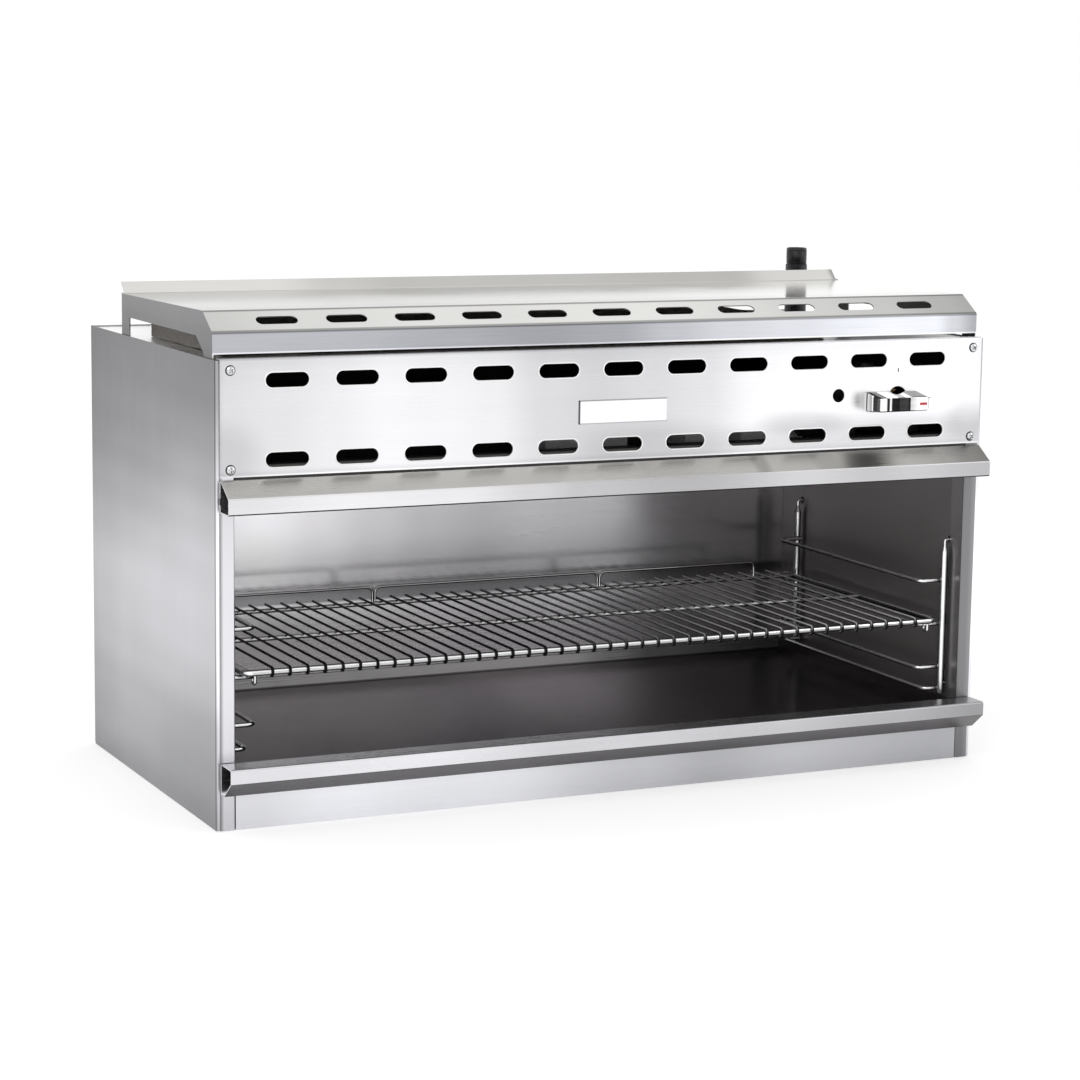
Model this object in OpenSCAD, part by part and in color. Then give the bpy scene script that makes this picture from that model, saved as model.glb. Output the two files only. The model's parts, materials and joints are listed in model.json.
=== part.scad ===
// Gas cheese melter: a folded stainless cabinet, open at the front, with a row of infrared
// burner tiles in its ceiling. A wire rack rests on one of four rungs at each side, a drip
// pan slides out below it, and one lever knob on the slotted control panel sets the gas.
// Millimetres. +Z is up and the front faces -Y. The origin is the middle of the base.

/* [Cabinet] */
// Width over the side panels
body_w = 914.4; // [800:0.1:1100]
// Depth over the side panels
body_d = 435; // [420:1:520]
// Height of the side panels
body_h = 484.6; // [470:0.1:560]
// Thickness of the folded sheet
sheet = 1.2; // [1:0.1:1.5]
// Outer radius of a fold
bend_r = 2.4; // [2:0.1:3]
// Width of the side panels' front and rear lips
side_lip = 12; // [10:1:14]

/* [Front frame] */
// Face width of an upright beside the opening
jamb_w = 16; // [14:1:24]
// How far an upright's edge lies in from the side panel's face
jamb_inset = 4.2; // [3:0.1:6]
// Height of the closed panel below the drip pan
plinth_h = 50; // [44:1:60]
// Height of the channel over the opening
header_h = 47; // [42:1:50]

/* [Cavity] */
// Thickness of the insulation behind the cavity
rear_insulation = 21.4; // [16:0.1:40]
// Height of the cavity's floor sheet
floor_z = 41.2; // [36:0.1:44]
// Height of the burner ceiling above the header's lower edge
ceiling_rise = 21; // [16:1:26]
// Thickness of the insulation beside the cavity
side_insulation = 12.5; // [8:0.5:12.5]

/* [Control panel] */
// Height of the control panel
panel_h = 120.2; // [116:0.1:130]
// How far its top edge stands above the side panels
panel_rise = 1.6; // [1.3:0.1:4]
// Depth of the flange along its top edge
panel_flange = 12; // [8:1:12]
// Least distance from the panel's end to a slot
slot_margin = 30; // [24:1:60]
// Spacing of the slots
slot_pitch = 76.2; // [60:0.1:80]
// Length of a panel slot
slot_l = 47.2; // [30:0.1:50]
// Height of a panel slot
slot_h = 15.4; // [8:0.1:17]
// Upper row of slots, down from the panel's top edge
slot_down = 22.6; // [20:0.1:28]
// Lower row of slots, up from the panel's bottom edge
slot_up = 16.5; // [14:0.1:20]
// Place of the gas knob, in from the right-hand side
knob_in = 113.7; // [111:0.1:117]
// Height of the gas knob above the panel's bottom edge
knob_up = 56; // [50:0.5:60]
// Diameter of the hole round the knob's stem
knob_hole_d = 24; // [18:0.5:28]
// Place of the pilot hole, in from the right-hand side
pilot_in = 190.2; // [186:0.1:195]
// Height of the pilot hole above the panel's bottom edge
pilot_up = 59.7; // [55:0.1:62]
// Diameter of the pilot hole
pilot_hole_d = 15; // [12:0.5:16]
// Width of the bare plate in the middle of the panel
plate_w = 105; // [80:0.5:110]
// Height of the bare plate
plate_h = 25.5; // [20:0.5:30]
// Height of the bare plate's middle above the panel's bottom edge
plate_up = 52.3; // [48:0.1:56]
// Panel screws, in from the panel's ends
screw_in = 11.2; // [10.2:0.1:11.6]
// Upper panel screws, down from the panel's top edge
screw_down = 11.6; // [9:0.1:14]
// Lower panel screws, up from the panel's bottom edge
screw_up = 7.7; // [7:0.1:10]
// Diameter of a screw head
screw_head_d = 11; // [9:0.1:12]
// Diameter of a screw's shank
screw_d = 4.2; // [3.5:0.1:4.4]

/* [Back screws] */
// Number of screws down each side of the back panel
back_rows = 5; // [3:1:8]
// Diameter of a back screw's head
back_screw_head_d = 7; // [6:0.1:8]
// Diameter of a back screw's shank
back_screw_d = 3; // [2.5:0.1:4]

/* [Canopy over the opening] */
// How far the canopy stands out from the panel
canopy_out = 26; // [20:0.5:32]
// Fall of its slope
canopy_fall = 18; // [14:0.5:20]
// Height of its upright face
canopy_face = 17.2; // [14:0.1:18]

/* [Top cover] */
// How far the cover's front lies behind the front plane
cover_front = 13.5; // [12:0.1:18]
// Rear edge of the cover, ahead of the cabinet's back
cover_back = 115; // [100:1:140]
// Gap under the cover's front strip, above the side panels
cover_lift = 4.8; // [4:0.1:8]
// Height of the front strip
strip_h = 22.2; // [18:0.1:26]
// Run of the slotted slope
slope_run = 30.5; // [26:0.1:36]
// Rise of the slotted slope
slope_rise = 19.8; // [17:0.1:24]
// How much the top falls towards its rear edge
top_fall = 2.4; // [0:0.1:4]
// Length of the turned-up rear flange
flange_l = 17; // [12:0.5:22]
// Length of a cover slot
cover_slot_l = 45; // [30:0.5:48]
// Width of a cover slot along the slope
cover_slot_w = 13; // [8:0.1:15]
// Height of the window in the cover's side, above the side panel
window_h = 20; // [14:0.5:22]
// How far the cover's legs reach down inside the side panels
leg_reach = 14; // [8:1:20]

/* [Drip pan] */
// Height of the pan's side and rear walls
pan_wall = 13.2; // [10:0.1:14]
// Gap between the plinth and the pan
pan_gap = 2.8; // [2:0.1:3.4]
// How far the pan's handle stands out from the uprights
handle_out = 32.3; // [26:0.1:38]
// Height of the handle's upright face
handle_face = 15.4; // [12:0.1:18]
// Fall of the handle's under-slope
handle_under = 17.1; // [12:0.1:20]
// Run of the handle's under-slope
handle_tuck = 21.5; // [16:0.1:24]
// Height of the handle's top above the plinth
handle_rise = 21; // [19.5:0.1:23]

/* [Rack] */
// Radius of the rack's frame rod
frame_r = 3.25; // [2.5:0.05:3.5]
// Radius of the frame rod's corners
frame_bend = 9; // [7:0.5:12]
// Radius of its two cross rods
cross_r = 2.5; // [1.8:0.1:2.5]
// Radius of a grid wire
wire_r = 1.4; // [1:0.1:1.6]
// Spacing of the grid wires
wire_pitch = 19.5; // [15:0.1:24]
// Gap from the cavity's wall to the middle of the rack's side rod
rack_gap = 19.2; // [18.2:0.1:22]
// Front rod, behind the front plane
rack_front = 20; // [18:0.5:22]
// Middle cross rod, behind the front plane
rack_mid = 188; // [150:1:220]
// Rear cross rod, ahead of the cavity's back wall
rack_back = 65; // [64:1:90]
// How far the grid wires pass the rear cross rod
wire_tail = 20; // [8:1:22]
// How far a grid wire curls round the front rod
wire_curl = 200; // [120:5:230]
// Height of the rear fence above the grid
fence_h = 16; // [10:0.5:24]
// Radius of the fence wire
fence_r = 1.6; // [1.2:0.1:1.8]
// Radius of the hooks under the front corners
hook_r = 1.75; // [1.4:0.05:1.9]

/* [Rack guides] */
// Radius of a guide post
post_r = 4; // [3:0.1:4.5]
// Gap between a post and the cavity's wall
post_gap = 2.2; // [1.8:0.1:3]
// Front post, behind the front plane
post_front = 26; // [25:0.5:28]
// Rear post, ahead of the cavity's back wall
post_back = 48; // [40:1:55]
// Top of a post's full-width stretch
post_top = 236; // [220:1:250]
// Radius of a rung
rung_r = 2.5; // [2:0.1:2.5]
// How far the rungs stand in from the cavity's wall
rung_in = 34.2; // [32:0.1:36]
// Height of the lowest rung
rung_low = 76.2; // [75:0.1:80]
// Spacing of the upper three rungs
rung_pitch = 50.8; // [40:0.1:56]
// Radius of a rung's corners
rung_bend = 9; // [7:0.5:9]

/* [Burner] */
// Gap from the cavity's wall to the end of the burner box
burner_in = 58.2; // [50:0.1:120]
// Depth of the burner box
burner_d = 210; // [180:1:220]
// Height of the burner box
burner_h = 87; // [80:1:100]
// Front of the burner box, behind the front plane
burner_front = 110; // [108:1:120]
// Number of ceramic tiles
tiles = 5; // [2:1:8]
// Thickness of a ceramic tile
tile_t = 13; // [10:0.5:16]
// Radius of the rods below the tiles
screen_r = 1.5; // [1:0.1:2]
// Spacing of the rods below the tiles
screen_pitch = 15; // [10:0.5:20]

/* [Gas line] */
// Outer radius of the gas pipe
pipe_r = 13.35; // [12:0.05:13.4]
// Bore radius of the gas pipe
pipe_bore = 10.45; // [8:0.05:10.6]
// Height of the inlet's end above the side panels
inlet_rise = 80.2; // [60:0.1:120]
// Place of the inlet, in from the right-hand side
inlet_in = 23.7; // [23.2:0.1:25.2]
// Place of the inlet, ahead of the cabinet's back
inlet_back = 50; // [46:1:65]
// Length of the inlet's threaded end
thread_l = 20; // [14:1:24]
// Height of the gas pipe above the ceiling
pipe_up = 39; // [36:0.5:42]
// Front run of the gas pipe, behind the front plane
manifold_y = 46; // [45:0.5:48]
// Radius of the valve's stem
stem_r = 3.2; // [2.5:0.05:4]
// Radial clearance of the stem in the valve
stem_fit = 0.05; // [0.02:0.01:0.1]

/* [Knob] */
// Width of the lever knob
knob_w = 64.5; // [56:0.5:68]
// How far the lever's middle lies to the left of its stem
knob_shift = 7.7; // [4:0.1:9]
// Height of its back
knob_back_h = 23; // [19:0.5:26]
// Height of its front
knob_front_h = 16.3; // [14:0.1:19]
// How far the knob's middle hangs below its stem
knob_drop = 4.7; // [0:0.1:5]
// How far it stands out from the panel
knob_out = 27.6; // [24:0.1:32]

/* [Mounting] */
// Bolt holes of the base, in from the sides
bolt_in_x = 51.2; // [45:0.1:150]
// Bolt holes of the base, in from the front and the back
bolt_in_y = 47.5; // [40:0.1:90]
// Diameter of a bolt hole
bolt_hole_d = 10.5; // [8:0.1:12]

/* [Hidden] */
$fn = 48;

bend_steps = 5;          // facets of a fold
seat = 0.02;             // gap between rods that are welded where they cross
run_gap = 0.3;           // gap under a piece that slides

// The cabinet's planes. Distances behind the front plane are called depths
side = body_w / 2;
side_in = side - sheet;
fold_clear = side - bend_r - 0.2;    // edge of a sheet that ends at a side panel's fold
rear_in = body_d - 2 * sheet;        // inner face of the back panel
cavity_d = rear_in - sheet - rear_insulation;
jamb_out = side - jamb_inset;
jamb_in = jamb_out - jamb_w;
wall = jamb_in + sheet;              // the cavity's side wall
face = -2 * sheet;                   // the control panel's face
panel_top = body_h + panel_rise;
panel_z = panel_top - panel_h;
header_top = panel_z + 12;
front_return = 20;      // how far the header's and the plinth's edges turn back
opening_top = header_top - header_h;
ceiling_z = opening_top + ceiling_rise;
batt_half = wall - 8.2;              // half the width of the rear insulation
batt_low = 20;
batt_top = ceiling_z + 8;
deck_z = body_h - panel_rise;        // upper face of the deck
knob_x = side - knob_in;
knob_z = panel_z + knob_up;
pilot_x = side - pilot_in;
pilot_z = panel_z + pilot_up;
screw_x = jamb_out - screw_in;
screw_rows = [panel_top - screw_down, panel_z + screw_up];
slot_rows = [panel_top - slot_down, panel_z + slot_up];
slots = 2 * floor((jamb_out - slot_margin - slot_l / 2) / slot_pitch) + 1;

// The cover
cover_half = side_in - 0.6;
cover_rear = body_d - cover_back;
strip_z = body_h + cover_lift;
slope_z = strip_z + strip_h;
top_z = slope_z + slope_rise;
leg_z = body_h - leg_reach;
window_z = body_h + window_h;
leg_w = 27;
slope_tilt = atan(slope_rise / slope_run);
blanket_t = 25;
blanket_front = cover_front + slope_run + 18;
blanket_rear = cover_rear - 24;
blanket_end = side - 172.2;          // the inlet's end of the deck is left open

// The drip pan
pan_z = plinth_h + pan_gap;
pan_half = jamb_in - 1.5;
pan_rear = cavity_d - 1.5;
pan_front = -(sheet + 0.5);
handle_top = plinth_h + handle_rise;

// The guides and the rack
peg_r = 1.75;
peg_reach = 3.5;
jamb_return = post_front - peg_r - 0.75;   // an upright ends in front of the guide's pegs
post_foot = pan_z + sheet + pan_wall + 4;
tip_z = post_top + 15;
peg_heights = [post_foot + 12, tip_z];
post_x = wall - post_gap - post_r;
post_rear = cavity_d - post_back;
rung_x = wall - rung_in;
rungs = [
    [rung_low, rung_x + 10], [rung_low + rung_pitch / 2, rung_x],
    [rung_low + 1.5 * rung_pitch, rung_x], [rung_low + 2.5 * rung_pitch, rung_x]
];
rack_half = wall - rack_gap;
rack_rear = cavity_d - rack_back;
rack_rung = rungs[2][0];
rack_z = rack_rung + rung_r + run_gap + frame_r;
grid_z = rack_z + frame_r + seat + wire_r;
cross_z = rack_z + frame_r - cross_r;
wire_reach = floor((rack_half - 26) / wire_pitch);   // wires to each side of the middle one

// The burner and the gas line
burner_z = ceiling_z + sheet;
burner_half = wall - burner_in;
burner_rear = burner_front + burner_d;
block_h = 44;
block_front = 64;
block_spans = [[-327, -227], [-156, -117], [-86, -5]];   // ends, from the pilot valve
window_lip = 12;
inlet_x = side - inlet_in;
inlet_y = body_d - inlet_back;
pipe_z = burner_z + pipe_up;
elbow_r = 20;
socket = 12;
valve_front = 18;
valve_rear = manifold_y + 12;
hood_end = valve_rear + 13;
knob_front = face - knob_out;
knob_low = 2.5 - knob_back_h / 2 - knob_drop;   // bottom of the knob's front, from its stem
stem_in = 9;                                    // the stem's end and the set screw, from the
set_screw_in = 14;                              // knob's front
set_screw_r = 1.6;
manifold_end = pilot_x - 17;
regulator_l = 46;
regulator_y = (manifold_y + inlet_y) / 2;
bracket_places = [knob_x - 39.5, knob_x + 44.5];
bracket_half = 12;      // half a saddle's depth
pilot_r = 6.5;
pilot_front = 30;
pilot_rear = 58;
pilot_drop = 84;
tube_r = 2.4;

module at_front() {
    translate([0, -body_d / 2, 0]) children();
}

// ---- folded sheet ----

function unit(v) = v / norm(v);
function left_of(v) = [-v[1], v[0]];

// Points round the corner b between a and c, on an arc of radius r
function corner_arc(a, b, c, r) =
    let (
        u = unit(a - b),
        v = unit(c - b),
        half = acos(u * v) / 2,
        run = r / tan(half),
        centre = b + unit(u + v) * r / sin(half),
        first = b + u * run - centre,
        last = b + v * run - centre,
        sweep = 180 - 2 * half
    )
    [for (k = [0 : bend_steps])
        centre + (first * sin((1 - k / bend_steps) * sweep) + last * sin(k / bend_steps * sweep))
            / sin(sweep)];

function bent_path(path, r) = [
    for (i = [0 : len(path) - 1])
        each (i == 0 || i == len(path) - 1) ? [path[i]]
            : corner_arc(path[i - 1], path[i], path[i + 1], r)
];

// The point of the sheet's other face that lies across from point i
function across(p, i, t) =
    let (
        before = unit(p[max(i, 1)] - p[max(i, 1) - 1]),
        after = unit(p[min(i + 1, len(p) - 1)] - p[min(i, len(p) - 2)]),
        out = unit(left_of(before) + left_of(after))
    )
    p[i] + out * t / (out * left_of(before));

// A folded sheet's section. The path is its outer face, and the sheet lies on its left
function sheet_outline(path, r = bend_r) =
    let (p = bent_path(path, r))
    concat(p, [for (i = [len(p) - 1 : -1 : 0]) across(p, i, sheet)]);

// A section of depth and height, run along X
module along_x(length) {
    rotate([90, 0, 90]) linear_extrude(length, center = true) children();
}

// A front view, cut or raised from depth y0 to y1
module along_y(y0, y1) {
    translate([0, y1, 0]) rotate([90, 0, 0]) linear_extrude(y1 - y0) children();
}

module box(low, high) {
    translate(low) cube(high - low);
}

module both_sides() {
    children();
    mirror([1, 0, 0]) children();
}

module obround(l, h) {
    square([l - h, h], center = true);
    for (s = [-1, 1]) translate([s * (l - h) / 2, 0]) circle(d = h);
}

module slot_row(l, h) {
    for (i = [0 : slots - 1]) translate([(i - (slots - 1) / 2) * slot_pitch, 0]) obround(l, h);
}

// ---- bent rods ----

// Places children whose own X, Y and Z are the directions x, y and x cross y
module placed(origin, x, y) {
    z = cross(x, y);
    multmatrix([
        [x[0], y[0], z[0], origin[0]],
        [x[1], y[1], z[1], origin[1]],
        [x[2], y[2], z[2], origin[2]],
        [0, 0, 0, 1]
    ]) children();
}

// Any direction square to d
function square_to(d) = unit(cross(d, abs(d[2]) > 0.9 ? [1, 0, 0] : [0, 0, 1]));

module straight_rod(a, b, r) {
    d = unit(b - a);
    x = square_to(d);
    placed(a, x, cross(d, x)) cylinder(h = norm(b - a), r = r);
}

// A rod through the points, with its corners on arcs of the given bend
module bent_rod(points, r, bend) {
    count = len(points);
    dirs = [for (i = [0 : count - 2]) unit(points[i + 1] - points[i])];
    trims = [for (i = [0 : count - 1]) (i == 0 || i == count - 1) ? 0
        : bend * tan(acos(dirs[i - 1] * dirs[i]) / 2)];
    for (i = [0 : count - 2])
        straight_rod(points[i] + dirs[i] * trims[i], points[i + 1] - dirs[i] * trims[i + 1], r);
    for (i = [1 : count - 2]) {
        u = dirs[i - 1];
        n = unit(dirs[i] - u * (u * dirs[i]));
        placed(points[i] - u * trims[i] + n * bend, -n, u)
            rotate_extrude(angle = acos(u * dirs[i])) translate([bend, 0]) circle(r);
    }
}

// ---- cabinet ----

module side_panel() {
    section = [[-side + side_lip, body_d], [-side, body_d], [-side, 0], [-side + side_lip, 0]];
    difference() {
        linear_extrude(body_h) polygon(sheet_outline(section));
        // the lower rear corner is cut off
        translate([-side, body_d, 0]) rotate([45, 0, 0]) cube([4 * side_lip, 6, 6], center = true);
        back_screw_holes();
    }
}

module left_side_panel() {
    color("silver") at_front() side_panel();
}

module right_side_panel() {
    color("silver") at_front() mirror([1, 0, 0]) side_panel();
}

module at_back_screws() {
    for (x = [-1, 1], i = [0 : back_rows - 1])
        translate([x * (side - side_lip / 2), body_d, (i + 0.5) * body_h / back_rows]) children();
}

module back_screw_holes() {
    at_back_screws() rotate([90, 0, 0]) cylinder(h = 6 * sheet, r = back_screw_d / 2, center = true);
}

module back_panel() {
    color("silver") at_front()
        difference() {
            box([-fold_clear, rear_in, 0], [fold_clear, rear_in + sheet, body_h]);
            back_screw_holes();
        }
}

// The bottom sheet, with turned-up edges and the bolt holes
module base_pan() {
    front_half = jamb_in - 1;
    edge_h = 15;
    edge_in = 24;
    color("gray") at_front() difference() {
        union() {
            box([-fold_clear, sheet, 0], [fold_clear, rear_in, sheet]);
            box([-front_half, 0, 0], [front_half, sheet, edge_h]);
            both_sides() {
                box([0, edge_in, 0], [side_in, rear_in - edge_in, sheet]);
                box([side_in - sheet, edge_in, 0], [side_in, rear_in - edge_in, edge_h]);
            }
        }
        for (x = [-1, 1], y = [-1, 1])
            translate([x * (side - bolt_in_x), body_d / 2 + y * (body_d / 2 - bolt_in_y), -1])
                cylinder(h = 3 * sheet, d = bolt_hole_d);
    }
}

// An upright beside the opening: a face, and a return into the cavity
module jamb() {
    section = [[-jamb_out, -sheet], [-jamb_in, -sheet], [-jamb_in, jamb_return]];
    difference() {
        linear_extrude(deck_z - sheet) polygon(sheet_outline(section));
        box([-side, 0, -1], [0, jamb_return + 1, sheet]);
        for (z = screw_rows)
            translate([-screw_x, 1, z]) rotate([90, 0, 0]) cylinder(h = 2 * sheet + 2, r = screw_d / 2);
    }
}

module left_jamb() {
    color("gainsboro") at_front() jamb();
}

module right_jamb() {
    color("gainsboro") at_front() mirror([1, 0, 0]) jamb();
}

module plinth() {
    section = [[front_return, plinth_h], [-sheet, plinth_h], [-sheet, 0]];
    color("gainsboro") at_front() along_x(2 * (jamb_in - 0.3)) polygon(sheet_outline(section));
}

module front_header() {
    section = [[front_return, header_top], [-sheet, header_top], [-sheet, opening_top],
               [front_return, opening_top]];
    color("silver") at_front() along_x(2 * (jamb_in - 0.3)) polygon(sheet_outline(section));
}

module control_panel() {
    section = [[panel_flange + face, panel_top], [face, panel_top], [face, panel_z]];
    color("whitesmoke") at_front() difference() {
        along_x(2 * jamb_out) polygon(sheet_outline(section));
        for (z = slot_rows) translate([0, 0, z]) along_y(face - 1, 1) slot_row(slot_l, slot_h);
        translate([knob_x, 0, knob_z]) along_y(face - 1, 1) circle(d = knob_hole_d);
        translate([pilot_x, 0, pilot_z]) along_y(face - 1, 1) circle(d = pilot_hole_d);
        for (x = [-1, 1], z = screw_rows)
            translate([x * screw_x, 0, z]) along_y(face - 1, 1) circle(screw_d / 2);
    }
}

// A plate with nothing on it, raised from the panel
module bare_plate() {
    low = panel_z + plate_up - plate_h / 2;
    color("white") at_front()
        box([-plate_w / 2, face - sheet, low], [plate_w / 2, face, low + plate_h]);
}

// A domed cross-head screw, driven towards +Y from the plane y = 0
module screw(head_d, shank_d, shank_l) {
    head_h = 0.3 * head_d;
    dome_r = (head_d * head_d / 4 + head_h * head_h) / (2 * head_h);
    difference() {
        intersection() {
            translate([0, dome_r - head_h, 0]) sphere(dome_r, $fn = 40);
            box([-head_d, -head_h, -head_d], [head_d, 0, head_d]);
        }
        for (turn = [0, 90]) rotate([0, turn, 0])
            box([-head_d / 4, -head_h - 1, -head_d / 16], [head_d / 4, -head_h / 2, head_d / 16]);
    }
    rotate([-90, 0, 0]) cylinder(h = shank_l, r = shank_d / 2 - 0.1);
}

module panel_screws() {
    color("silver") at_front()
        for (x = [-1, 1], z = screw_rows) translate([x * screw_x, face, z])
            screw(screw_head_d, screw_d, 9);
}

module back_screws() {
    color("silver") at_front() at_back_screws()
        rotate([0, 0, 180]) screw(back_screw_head_d, back_screw_d, 2 * sheet + 3);
}

// The mark that the knob's pointer meets when it is fully open
module dial_tick() {
    color("black") at_front() translate([knob_x, 0, knob_z + 30])
        box([-0.6, face - 0.15, -2.2], [0.6, face, 2.2]);
}

module canopy() {
    top = panel_z - 0.4;
    bottom = top - canopy_fall - canopy_face;
    out = face - canopy_out;
    section = [
        [-sheet, top - 20], [-sheet, top], [out, top - canopy_fall],
        [out, bottom], [-sheet, bottom], [-sheet, bottom + 8]
    ];
    color("silver") at_front() along_x(2 * jamb_out) polygon(sheet_outline(section));
}

// ---- top of the cabinet ----

// The side of the cover: two legs inside the side panel, and a window between them
module cover_cheek() {
    rear_z = top_z - top_fall;
    inner = slope_run * 0.68;
    outline = [
        [cover_front, leg_z], [cover_front, slope_z], [cover_front + slope_run, top_z],
        [cover_rear, rear_z], [cover_rear, leg_z], [cover_rear - leg_w - 1, leg_z],
        [cover_rear - leg_w - 1, window_z], [cover_front + slope_run + inner, window_z],
        [cover_front + leg_w, body_h + 4], [cover_front + leg_w, leg_z]
    ];
    translate([cover_half - sheet, 0, 0]) rotate([90, 0, 90]) linear_extrude(sheet) polygon(outline);
}

module top_cover() {
    rear_z = top_z - top_fall;
    rise = flange_l * sin(45);
    section = [
        [cover_rear + rise, rear_z + rise], [cover_rear, rear_z],
        [cover_front + slope_run, top_z], [cover_front, slope_z], [cover_front, strip_z]
    ];
    color("whitesmoke") at_front() difference() {
        union() {
            along_x(2 * cover_half) polygon(sheet_outline(section));
            both_sides() intersection() {
                cover_cheek();
                // the cheeks end under the folded sheet
                along_x(2 * body_w) translate([0, -0.2]) polygon([
                    [cover_front, 0], [cover_front, slope_z], [cover_front + slope_run, top_z],
                    [cover_rear, rear_z], [cover_rear, 0]
                ]);
            }
        }
        // the flange is a little shorter than the cover
        both_sides() box([cover_half - 3, cover_rear + 1, rear_z - 5], [side, body_d, top_z + 60]);
        translate([0, cover_front + slope_run / 2, slope_z + slope_rise / 2])
            rotate([slope_tilt, 0, 0]) translate([0, 0, -10]) linear_extrude(20)
                slot_row(cover_slot_l, cover_slot_w);
    }
}

// The sheet that closes the cabinet under the cover
module top_deck() {
    half = cover_half - sheet;
    color("tan") at_front() difference() {
        union() {
            box([-half, sheet, deck_z - sheet], [half, rear_in, deck_z]);
            both_sides() box([half - sheet, 40, leg_z], [half, rear_in - 20, deck_z]);
        }
        translate([inlet_x, inlet_y, deck_z]) cylinder(h = 4 * sheet, r = pipe_r + 1, center = true);
    }
}

module burner_blanket() {
    color("darkgray") at_front()
        box([-batt_half, blanket_front, deck_z], [blanket_end, blanket_rear, deck_z + blanket_t]);
}

module fibre_blocks() {
    top = burner_z + block_h;
    color("lightgray") at_front() for (span = block_spans)
        box([pilot_x + span[0], block_front, burner_z], [pilot_x + span[1], burner_front - 4, top]);
}

// ---- cavity ----

module cavity_floor() {
    section = [[jamb_in, sheet], [jamb_in, floor_z], [-jamb_in, floor_z], [-jamb_in, sheet]];
    color("dimgray") at_front() translate([0, cavity_d, 0]) rotate([90, 0, 0])
        linear_extrude(cavity_d - 2 * sheet) polygon(sheet_outline(section));
}

module cavity_back() {
    color("gray") at_front()
        box([-wall, cavity_d, sheet], [wall, cavity_d + sheet, ceiling_z + 20]);
}

// One side of the cavity, with notches for the guide's pegs
module cavity_wall() {
    color("dimgray") at_front() difference() {
        box([wall, 2 * sheet, sheet], [wall + sheet, cavity_d + sheet, ceiling_z + 20]);
        for (y = [post_front, post_rear], z = peg_heights)
            box([wall - 1, y - 3, z - 4], [wall + sheet + 1, y + 3, z + 4]);
    }
}

module cavity_left_wall() {
    mirror([1, 0, 0]) cavity_wall();
}

module cavity_right_wall() {
    cavity_wall();
}

// The sheet that carries the burner, open below the tiles
module burner_ceiling() {
    color("gray") at_front() difference() {
        union() {
            box([-jamb_in, 0, ceiling_z], [jamb_in, jamb_return, ceiling_z + sheet]);
            box([-wall, jamb_return, ceiling_z], [wall, cavity_d, ceiling_z + sheet]);
        }
        box([-burner_half + window_lip, burner_front + window_lip, ceiling_z - 1],
            [burner_half - window_lip, burner_rear - window_lip, ceiling_z + sheet + 1]);
        translate([pilot_x, pilot_drop, ceiling_z]) cylinder(h = 4 * sheet, r = 3.5, center = true);
    }
}

module back_insulation() {
    color("khaki") at_front()
        box([-batt_half, cavity_d + sheet, batt_low], [batt_half, rear_in, batt_top]);
}

module side_batt() {
    color("khaki") at_front()
        box([side_in - side_insulation, 30, batt_low], [side_in, cavity_d - 5, batt_top]);
}

module left_insulation() {
    mirror([1, 0, 0]) side_batt();
}

module right_insulation() {
    side_batt();
}

// An upturned channel on the cavity's floor, which carries the pan's edge
module pan_runner() {
    top = pan_z - run_gap;
    inner = wall - 14;
    section = [[wall, floor_z], [wall, top], [inner, top], [inner, floor_z]];
    color("silver") at_front() translate([0, cavity_d - 5, 0]) rotate([90, 0, 0])
        linear_extrude(cavity_d - 5 - jamb_return - 2) polygon(sheet_outline(section, 2));
}

module left_pan_runner() {
    mirror([1, 0, 0]) pan_runner();
}

module right_pan_runner() {
    pan_runner();
}

// ---- rack guides ----

module guide_post(y) {
    x = post_x;
    translate([x, y, post_foot]) cylinder(h = post_top - post_foot, r = post_r);
    translate([x, y, post_top]) cylinder(h = 8, r1 = post_r, r2 = peg_r);
    bent_rod([[x, y, post_top + 8], [x, y, tip_z], [wall + peg_reach, y, tip_z]], peg_r, 3);
    straight_rod([x, y, peg_heights[0]], [wall + peg_reach, y, peg_heights[0]], peg_r);
}

// Two posts against the cavity's wall, and four rungs that the rack can rest on
module rack_guide() {
    weld = 0.3;
    front = post_front + post_r + rung_r - weld;
    rear = post_rear - post_r - rung_r + weld;
    end_x = post_x + 3;
    color("lightgray") at_front() {
        for (y = [post_front, post_rear]) guide_post(y);
        for (rung = rungs) bent_rod([
            [end_x, front, rung[0]], [rung[1], front, rung[0]],
            [rung[1], rear, rung[0]], [end_x, rear, rung[0]]
        ], rung_r, rung_bend);
    }
}

module left_rack_guide() {
    mirror([1, 0, 0]) rack_guide();
}

module right_rack_guide() {
    rack_guide();
}

// ---- rack ----

module rack_frame() {
    rear_end = rack_rear + wire_tail;
    color("lightgray") at_front() {
        bent_rod([
            [-rack_half, rear_end, rack_z], [-rack_half, rack_front, rack_z],
            [rack_half, rack_front, rack_z], [rack_half, rear_end, rack_z]
        ], frame_r, frame_bend);
        for (y = [rack_mid, rack_rear])
            straight_rod([-rack_half, y, cross_z], [rack_half, y, cross_z], cross_r);
    }
}

// The grid: each wire lies on the cross rods and curls down round the front rod
module rack_wires() {
    curl = frame_r + seat + wire_r;
    color("lightgray") at_front() for (i = [-wire_reach : wire_reach]) {
        x = i * wire_pitch;
        straight_rod([x, rack_rear + wire_tail, grid_z], [x, rack_front, grid_z], wire_r);
        placed([x, rack_front, rack_z], [0, 0, 1], [0, -1, 0])
            rotate_extrude(angle = wire_curl, $fn = 32) translate([curl, 0]) circle(wire_r, $fn = 20);
    }
}

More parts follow.
